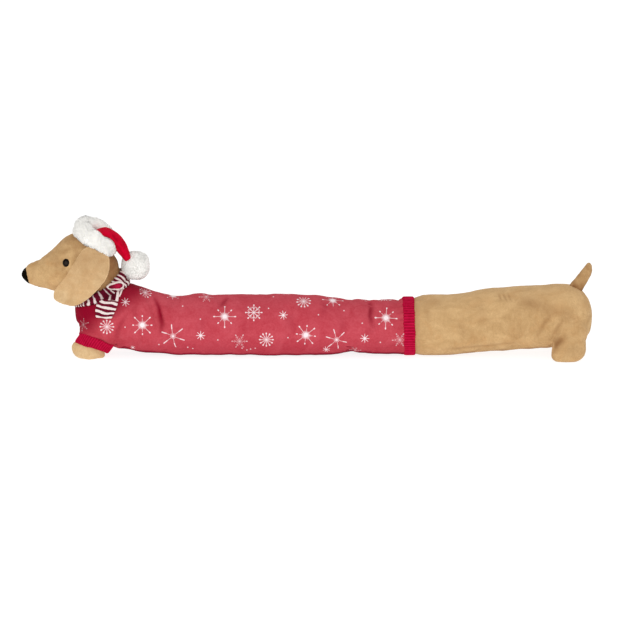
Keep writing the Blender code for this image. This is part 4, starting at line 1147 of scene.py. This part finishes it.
def make_eye(word, side, head_tree, finish):
    """A domed eye, its back pressed against the plush."""
    low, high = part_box("eye_" + word)
    middle = (low + high) / 2
    proudest = max(abs(low.y), abs(high.y))
    dome = bmesh.new()
    bmesh.ops.create_uvsphere(dome, u_segments=40, v_segments=24, radius=EYE_RADIUS)
    place = Matrix.Translation((middle.x + 0.0012, side * (proudest - EYE_RADIUS * EYE_FLATNESS), middle.z))
    forward = Matrix.Rotation(-side * radians(10), 4, "Z")
    face_out = Matrix.Rotation(-side * pi / 2, 4, "X")
    dome.transform(place @ forward @ face_out @ Matrix.Diagonal((1.0, EYE_HEIGHT, EYE_FLATNESS, 1.0)))
    keep_clear([v.co for v in dome.verts], head_tree, 0.0001)
    centre = place.translation
    rim = [hypot(v.co.x - centre.x, v.co.z - centre.z) / EYE_RADIUS for v in dome.verts]
    piece = cast("eye_dome_" + word, dome)
    # Painted shade darkens the dome towards its rim, leaving a painted highlight in its middle.
    label(piece, "shade", rise(0.15, 0.75, np.array(rim)))
    return ready(piece, "eye_" + word, finish)


def make_ear(word, side, head_tree, finish):
    """The hung ear: a flat pad, a seam just inside its rolled rim, thin where its front meets the cheek."""
    piece = woven("ear_plush_" + word, "ear_" + word)
    points = pushed(spots(piece), EAR_PUSHES)
    far = along_path(*as_seen(points, side), np.array(EAR_FRONT) / 1000.0)[0]
    thin = (0.66 + 0.26 * rise(0.178, 0.150, points[:, 2])) * fall(0.004, 0.034, far)
    depths = np.array([side_depth(head_tree, x, max(z, JAW_Z), side, 0.001) for x, _, z in points])
    proud = np.maximum(points[:, 1] * side - depths, 0.0) * (depths > 0.02)
    points[:, 1] -= side * proud * thin
    put(piece, points)

    points = spots(piece)
    x, _, z = points.T
    facing = np.abs(outward(piece)[:, 1])
    ways = relief(points, ((0.026, 0.05, 0.026), 0.0009, 14 + side), (0.006, 0.00022, 16))
    raised(piece, ways * (1 - (1 - facing)) - 0.0003 * hump(facing, 0.80, 0.12))
    # Painted shade over the pad's flat faces, deeper towards the top, with a random mottle; the rolled rim is
    # left lighter.
    shade = rise(0.45, 0.95, facing) * (0.15 + 0.36 * rise(0.100, 0.195, z))
    label(piece, "shade", np.clip(shade + drift(points, 0.013, 17) * 0.14, 0, 1))
    # Painted highlight along the rolled rim at the back and the top.
    edge = hump(facing, 0.48, 0.22)
    label(piece, "painted_highlight", edge * rise(-0.430, -0.390, x) * rise(0.098, 0.118, z))
    return ready(piece, "ear_" + word, finish)


def make_chin_stitch(head_tree, finish):
    """The few black threads that close the mouth under the muzzle."""
    sides = 8
    points, faces = [], []
    for lane in (-1, 0, 1):
        start = Vector((-0.4695 + lane * 0.0008, -0.007, 0.05))
        path = []
        for k in range(13):
            t = pi * k / 12
            hit = head_tree.ray_cast(start + Vector((0.0, 0.007 * (1 - cos(t)), 0.0)), Vector((0, 0, 1)))[0]
            if hit is not None:
                path.append(hit - Vector((0, 0, 0.0004 * sin(t))))
        first = len(points)
        last = first + sides * (len(path) - 1)
        for k, spot in enumerate(path):
            fine = 0.00042 * sqrt(max(0.05, sin(pi * (k + 0.5) / len(path))))
            for i in range(sides):
                turn = TURN * i / sides
                points.append(tuple(spot + Vector((cos(turn), 0.0, sin(turn))) * fine))
        for row in range(first, last, sides):
            for i in range(sides):
                a, b = row + i, row + (i + 1) % sides
                faces.append((a, b, b + sides, a + sides))
        faces.append(tuple(range(first, first + sides)))
        faces.append(tuple(reversed(range(last, last + sides))))
    mesh = bpy.data.meshes.new("chin_stitch")
    mesh.from_pydata(points, [], faces)
    mesh.shade_smooth()
    return ready(new_piece("chin_stitch", mesh), None, finish)


# ---- the scarf


def rounded(angle, fullness):
    """The cosine and sine of angle, swollen from a circle (2) towards a box as fullness rises."""
    return (copysign(abs(value) ** (2.0 / fullness), value) for value in (cos(angle), sin(angle)))


def make_scarf_band(tree):
    """The bunched band round the neck: folds along it, its stripes fanning across it, and painted shade where
    it turns under, beside the head and under the knot.

    At the throat it is tucked up thin between the chin and the chest."""
    centre = NECK_MIDDLE - NECK_DOWN * NECK_LENGTH / 2
    half_long = (NAPE - THROAT).length / 2 + 0.0006
    half_short = NECK_HALF_WIDTH + 0.0009
    edge = NECK_LENGTH / 2
    stripe = pi * (half_long + half_short) / BAND_STRIPES
    profile = [
        (-0.98, 0.05), (-1.0, 0.30), (-0.90, 0.62), (-0.70, 0.88), (-0.45, 1.0), (-0.22, 0.93),
        (-0.02, 0.70), (0.12, 0.66), (0.30, 0.88), (0.52, 1.0), (0.78, 0.98), (1.02, 0.86),
        (1.22, 0.62), (1.28, 0.34), (1.02, 0.06), (0.5, 0.02), (0.0, 0.0), (-0.5, 0.02),
    ]
    steps = BAND_STRIPES * 8
    rings, stripes, rows, shades = [], [], [], []
    for i in range(steps):
        angle = TURN * i / steps
        up, side = rounded(angle, 2.15)
        throat, nape = rise(0.0, 0.95, -up), rise(0.25, 1.0, up)
        bunch = (1.0 + 0.10 * sin(3 * angle + 1.0) + 0.06 * sin(7 * angle)) * (1 - 0.62 * throat**2)
        uneven = 0.16 * sin(5 * angle + 0.7) + 0.10 * sin(11 * angle)
        ring = []
        for share, out in profile:
            along = edge * share * (1 - 0.64 * throat if share > 0 else 1 + 1.1 * nape)
            lane = BAND_STRIPES * i / steps + BAND_FAN * sin(2 * angle) * along / stripe + uneven
            lift = (out + 0.10 * cos(TURN * lane) * (out > 0.1)) * BAND_THICKNESS * bunch
            scallop = along * (1.0 + 0.08 * cos(TURN * lane))
            point = centre + NECK_UP * (half_long + lift) * up
            point += Vector((0.0, -(half_short + lift) * side, 0.0))
            point += NECK_DOWN * (scallop + 0.0008 * sin(2 * angle + 0.5))
            ring.append(point)
            stripes.append(lane)
            rows.append(along / ROW_PITCH)
            # Painted shade where the band turns under, in the furrow along it, beside the head and under the
            # knot.
            tucked_shade = rise(0.75, 0.20, out) * 0.6 + 0.35 * (abs(share - 0.05) < 0.2)
            head_shade = 0.85 * rise(0.60, -0.60, share) * rise(0.8, 0.3, up)
            knot_shade = 0.95 * exp(-(((point.x + 0.349) / 0.016) ** 2) - ((point.z - 0.113) / 0.012) ** 2)
            shades.append(min(1.0, max(tucked_shade, head_shade, knot_shade)))
        rings.append(keep_clear(ring, tree, SCARF_GAP))
    piece = from_rings("scarf", rings, closed=True)
    for name, values in (("stripe", stripes), ("row", rows), ("shade", shades)):
        label(piece, name, values)
    return piece


def strip_rows(rows, count):
    """The table's rows read again at count even places, as a smooth run."""
    values = np.array(rows, float)
    places = np.linspace(0, len(rows) - 1, count)
    whole = np.minimum(places.astype(int), len(rows) - 2)
    t = (places - whole)[:, None]
    before, after = values[np.maximum(whole - 1, 0)], values[np.minimum(whole + 2, len(rows) - 1)]
    here, there = values[whole], values[whole + 1]
    bend = 2 * here + (there - before) * t + (2 * before - 5 * here + 4 * there - after) * t**2
    return 0.5 * (bend + (3 * here - before - 3 * there + after) * t**3)


def long_end_stripe(share, z):
    """Under the knot the cloth stands in pleats; make_end paints shade between their crowns. Below, its
    stripes hang slack.
    """
    if z > THROAT_Z:
        return 1.2 * (share - 0.03)
    fallen = min((0.1030 - z) / STRIPE_PITCH, 3.14)
    slant = (0.20 - 0.03 * fallen * fallen) * share + 0.08 * (1 - share * share)
    return fallen - slant + 0.06 * sin(3.0 * share + 2.0 * fallen)


def short_end_stripe(share, z):
    """Dark, but for the pale stripe that rolls along its outer edge."""
    return 0.5 - 0.5 * rise(0.0, 0.5, share)


def make_end(name, rows, thickness, tree, lift, tilt, stripe_at):
    """A flat end of the scarf on the jumper's near side, its stripes puffed and its edges scalloped."""
    table = strip_rows(rows, 52)
    lowest = table[-1, 1]
    around = 40
    rings, stripes, counts, shades = [], [], [], []
    for x, z, half_width in table:
        last = min(1.0, (z - lowest) / 0.0024)
        round_end = sqrt(max(0.04, 1 - (1 - last) ** 2))
        pleated = rise(THROAT_Z - 0.002, THROAT_Z + 0.003, z) if stripe_at is long_end_stripe else 0.0
        ring = []
        for i in range(around):
            share, out = rounded(TURN * i / around, 3.2)
            local = stripe_at(share, z)
            crown = cos(TURN * local)
            width = (half_width + 0.0004 * crown * (1 - pleated)) * (0.88 + 0.12 * round_end)
            spot_x = x + share * width
            spot_z = z - tilt * share * width - 0.0006 * sin(pi * share * 1.3 + z * 90)
            puff = (1.0 + 0.16 * crown + pleated * 0.55 * crown) if out > 0 else 1.0
            height = 0.0007 + lift + 0.0012 * share**4 + thickness * (0.5 + 0.5 * out * puff * round_end)
            ring.append(Vector((spot_x, -(side_depth(tree, spot_x, spot_z, -1) + height), spot_z)))
            stripes.append(local)
            counts.append(share * half_width / ROW_PITCH)
            # Painted shade in the pleats under the knot, less on their crowns.
            shades.append(pleated * (0.85 - 0.35 * crown) * fall(0.55, 0.75, share))
        rings.append(ring)
    piece = from_rings(name, rings)
    label(piece, "stripe", [*stripes, stripes[0], stripes[-1]])
    label(piece, "row", [*counts, 0.0, 0.0])
    label(piece, "shade", [*shades, 0.0, 0.0])
    return piece


def make_knot(tree):
    """The knot: a plump teardrop of a wrap, its pale stripe closing round a dark heart."""
    lump = bmesh.new()
    bmesh.ops.create_uvsphere(lump, u_segments=72, v_segments=48, radius=1.0)
    knot_x, knot_z = KNOT_SPOT
    place = Vector((knot_x, -(side_depth(tree, knot_x, knot_z, -1) + 0.0052), knot_z))
    tilt = Matrix.Rotation(KNOT_TILT, 4, "Y")
    stripes, rows, highlights = [], [], []
    for vertex in lump.verts:
        box = Vector([copysign(abs(s) ** 0.85, s) for s in vertex.co])
        across = box.x * KNOT_HALF_SIZE.x
        up = box.z * KNOT_HALF_SIZE.z * (0.76 + 0.24 * box.x) + 0.0010 * box.x
        reach = min(1.0, hypot(box.x, box.z))
        from_rim = hypot(across, up) * (1 - reach) / reach if reach > 0.05 else KNOT_HALF_SIZE.z
        from_rim *= 1 - 0.40 * rise(0.0, 1.0, -box.z) - 0.25 * rise(0.0, 1.0, -box.x)
        heart = exp(-((box.z / 0.35) ** 2)) * (1 - box.x * box.x) * (box.y < 0)
        vertex.co = place + tilt @ Vector((across, box.y * KNOT_HALF_SIZE.y * (1 - 0.28 * heart), up))
        stripes.append(min(from_rim / 0.0106, 0.5))
        # Painted highlight: the dark heart is painted brighter red towards its right.
        highlights.append(0.75 * rise(-0.6, 0.4, box.x) * rise(0.9, 0.4, reach))
        rows.append(across / ROW_PITCH)
    keep_clear([v.co for v in lump.verts], tree, SCARF_GAP)
    piece = cast("knot", lump)
    dull = [0.0] * len(rows)
    for name, values in (("stripe", stripes), ("row", rows), ("shade", dull), ("painted_highlight", highlights)):
        label(piece, name, values)
    return piece


def join(target, *others):
    """Makes one piece of several, their labels kept."""
    bpy.ops.object.select_all(action="DESELECT")
    for piece in (target, *others):
        piece.select_set(True)
    bpy.context.view_layer.objects.active = target
    bpy.ops.object.join()
    return target


def make_scarf(head, jumper, finish):
    laid_on = tree_of(jumper)
    band = make_scarf_band(tree_of(head, jumper))
    knot = make_knot(tree_of(head, jumper, band))
    long = make_end("long_end", LONG_END, END_THICKNESS, laid_on, 0.0018, 0.10, long_end_stripe)
    short = make_end("short_end", SHORT_END, END_THICKNESS * 0.8, laid_on, 0.0006, -0.25, short_end_stripe)
    piece = join(band, knot, short, long)
    piece.name = "scarf_knit"
    ready(piece, "scarf", finish)


# ---- the hat


def plant(base, fleece):
    """Grows tapered locks of fleece over a base, and makes one piece of them and the base."""
    dice = np.random.default_rng(fleece.seed)
    count = fleece.count
    base.data.calc_loop_triangles()
    corners = read(base.data.loop_triangles, "vertices", 3, int)
    points, normals = spots(base), outward(base)
    a, b, c = (points[corners[:, i]] for i in range(3))
    areas = np.linalg.norm(np.cross(b - a, c - a), axis=1)
    chosen = dice.choice(len(corners), count, p=areas / areas.sum())
    u, v = dice.random(count), dice.random(count)
    over = u + v > 1
    u[over], v[over] = 1 - u[over], 1 - v[over]
    weights = np.stack([1 - u - v, u, v], axis=1)[:, :, None]
    roots = (points[corners[chosen]] * weights).sum(axis=1)
    out = (normals[corners[chosen]] * weights).sum(axis=1)
    out /= np.linalg.norm(out, axis=1, keepdims=True)
    ways = np.stack([drift(roots, 0.011, fleece.seed + k) for k in (1, 2, 3)], axis=1)
    ways += dice.normal(0, 0.35, (count, 3))
    ways -= out * (ways * out).sum(axis=1, keepdims=True)
    heads = roots[dice.choice(count, max(1, count // 26), replace=False)]
    nearest = np.array([int(((heads - root) ** 2).sum(axis=1).argmin()) for root in roots])
    pull = (heads[nearest] - roots) * fleece.clump
    lengths = fleece.length * (0.75 + 0.5 * dice.random(count))
    twist = np.cross(out, ways)
    phases = dice.random(count) * 2 * pi
    side = np.cross(out, ways + 0.01)
    side /= np.maximum(np.linalg.norm(side, axis=1, keepdims=True), 1e-9)
    other = np.cross(out, side)
    steps, sides = 3, 3
    rings, facing = [], []
    for step in range(steps + 1):
        t = step / steps
        swing = np.sin(phases + t * 5.0)[:, None] * fleece.curl * t * fleece.length
        middle = roots + out * ((t * (1 - 0.25 * t) * lengths)[:, None] - ROOT_DEPTH)
        middle += ways * (fleece.lean * t * t * lengths)[:, None] + twist * swing + pull * t
        fat = fleece.radius * (1.0 - 0.72 * t**1.5) * (0.8 + 0.4 * np.sin(phases))[:, None]
        for k in range(sides):
            turn = TURN * k / sides
            round_it = side * cos(turn) + other * sin(turn)
            rings.append(middle + round_it * fat)
            facing.append(out + round_it * 0.35)
    pattern = []
    for step in range(steps):
        for k in range(sides):
            a, b = step * sides + k, step * sides + (k + 1) % sides
            pattern.append((a, b, b + sides, a + sides))
    starts = np.arange(count)[:, None] * (steps + 1) * sides
    quads = (np.array(pattern)[None] + starts[:, :, None]).reshape(-1, 4).tolist()
    tips = (np.arange(sides) + starts + steps * sides).tolist()
    butts = (np.arange(sides)[::-1] + starts).tolist()
    mesh = bpy.data.meshes.new("locks")
    mesh.from_pydata(np.stack(rings, axis=1).reshape(-1, 3).tolist(), [], quads + tips + butts)
    mesh.shade_smooth()
    locks = new_piece("locks", mesh)
    # Each lock is painted darker at its root than at its tip, painted shade among the locks, and has a random
    # tone of its own; white lifts the tone, as painted light.
    tones = np.repeat(np.clip(0.45 + 0.55 * np.linspace(0, 1, steps + 1), 0, 1), sides)[None]
    tones = tones * (0.72 + 0.28 * dice.random(count))[:, None] + fleece.white
    label(locks, "shade", tones)
    # The base between the locks is painted grey, as painted shade.
    label(base, "shade", np.full(len(points), 0.25))
    # The locks are lit as the soft surface they make together, not each on its own.
    smooth = np.concatenate([normals, np.stack(facing, axis=1).reshape(-1, 3)])
    smooth /= np.linalg.norm(smooth, axis=1, keepdims=True)
    piece = join(base, locks)
    piece.data.normals_split_custom_set_from_vertices(smooth.tolist())


def make_brim(head_tree, finish):
    piece = woven("hat_fleece", "hat_brim")
    points, normals = spots(piece), outward(piece)
    lumps = drift(points, 0.012, 21) * 0.0011 - 0.0014
    points = pushed(points + normals * lumps[:, None], BRIM_PUSHES)
    put(piece, keep_clear(points, head_tree, 0.0004))
    plant(piece, BRIM_FLEECE)
    return ready(piece, "hat_brim", finish)


def make_pompom(finish):
    """A ball of cut fleece, a little squared by its trimming."""
    ball = bmesh.new()
    bmesh.ops.create_icosphere(ball, subdivisions=4, radius=1.0)
    for vertex in ball.verts:
        way = vertex.co.normalized()
        square = sum(abs(s) ** POMPOM_SQUARENESS for s in way) ** (-1 / POMPOM_SQUARENESS)
        vertex.co = POMPOM_CENTRE + way * square * POMPOM_RADIUS
    piece = cast("pompom_fleece", ball)
    plant(piece, POMPOM_FLEECE)
    return ready(piece, "hat_pompom", finish)


def make_cone(finish):
    piece = woven("hat_velour", "hat_cone")
    points, normals = spots(piece), outward(piece)
    points = points + normals * (drift(points, (0.016, 0.016, 0.010), 51) * 0.0005)[:, None]
    put(piece, pushed(points, CONE_PUSHES))
    # Painted shade in the folds of the hat.
    label(piece, "shade", crease(piece, HAT_CREASES))
    return ready(piece, "hat_cone", finish)


# ---- the stage


def stand(name, thing, place, target):
    """Sets a lamp or a lens in its place, aimed at the target."""
    made = new_piece(name, thing)
    made.location = place
    made.rotation_mode = "QUATERNION"
    made.rotation_quaternion = (Vector(target) - made.location).to_track_quat("-Z", "Y")
    return made


def set_stage():
    scene = bpy.context.scene
    mesh = bpy.data.meshes.new("floor")
    corners = [(x * FLOOR_HALF, y * FLOOR_HALF, 0) for x, y in ((-1, -1), (1, -1), (1, 1), (-1, 1))]
    mesh.from_pydata(corners, [], [(0, 1, 2, 3)])
    mesh.materials.append(floor_finish())
    floor = new_piece("floor", mesh)
    floor.location.z = -0.0004

    scene.world = bpy.data.worlds.new("studio")
    scene.world.use_nodes = True
    light = scene.world.node_tree.nodes["Background"]
    light.inputs["Color"].default_value = (1.0, 1.0, 1.0, 1.0)
    light.inputs["Strength"].default_value = WORLD_STRENGTH
    scene.view_settings.view_transform = "Standard"

    for row in LAMPS:
        lamp = bpy.data.lights.new(row.name, "AREA")
        lamp.shape = "RECTANGLE"
        lamp.size, lamp.size_y = row.size
        lamp.energy = row.power
        stand(row.name, lamp, row.place, row.target)

    lens = bpy.data.cameras.new("view")
    lens.sensor_width = SENSOR_MM
    lens.lens = SENSOR_MM * VIEW_DISTANCE / VIEW_WIDTH
    lens.clip_end = 100.0
    scene.camera = stand("view", lens, VIEW_PLACE, VIEW_TARGET)


# ---- the whole


def main():
    set_stage()
    tan = plush_finish("tan_plush", (0.715, 0.470, 0.230), (0.485, 0.290, 0.125), (0.250, 0.108, 0.036))
    pale = plush_finish("ear_plush", (0.830, 0.590, 0.325), (0.620, 0.405, 0.200), (0.360, 0.180, 0.070))
    rib, fleece, felt, bead = rib_finish(), fleece_finish(), felt_finish(), bead_finish()

    jumper = make_jumper(jersey_finish())
    make_hem_band(rib)
    make_hindquarters(tan)
    make_tail(tan)
    head = make_head(tan)
    head_tree = tree_of(head)
    make_nose(felt)
    make_chin_stitch(head_tree, felt)
    for word, side in SIDES.items():
        make_paw(word, side, pale)
        make_cuff(word, side, rib)
        make_eye(word, side, head_tree, bead)
        make_ear(word, side, head_tree, pale)
    make_scarf(head, jumper, stripe_finish())
    make_brim(head_tree, fleece)
    make_cone(velour_finish())
    make_pompom(fleece)


main()
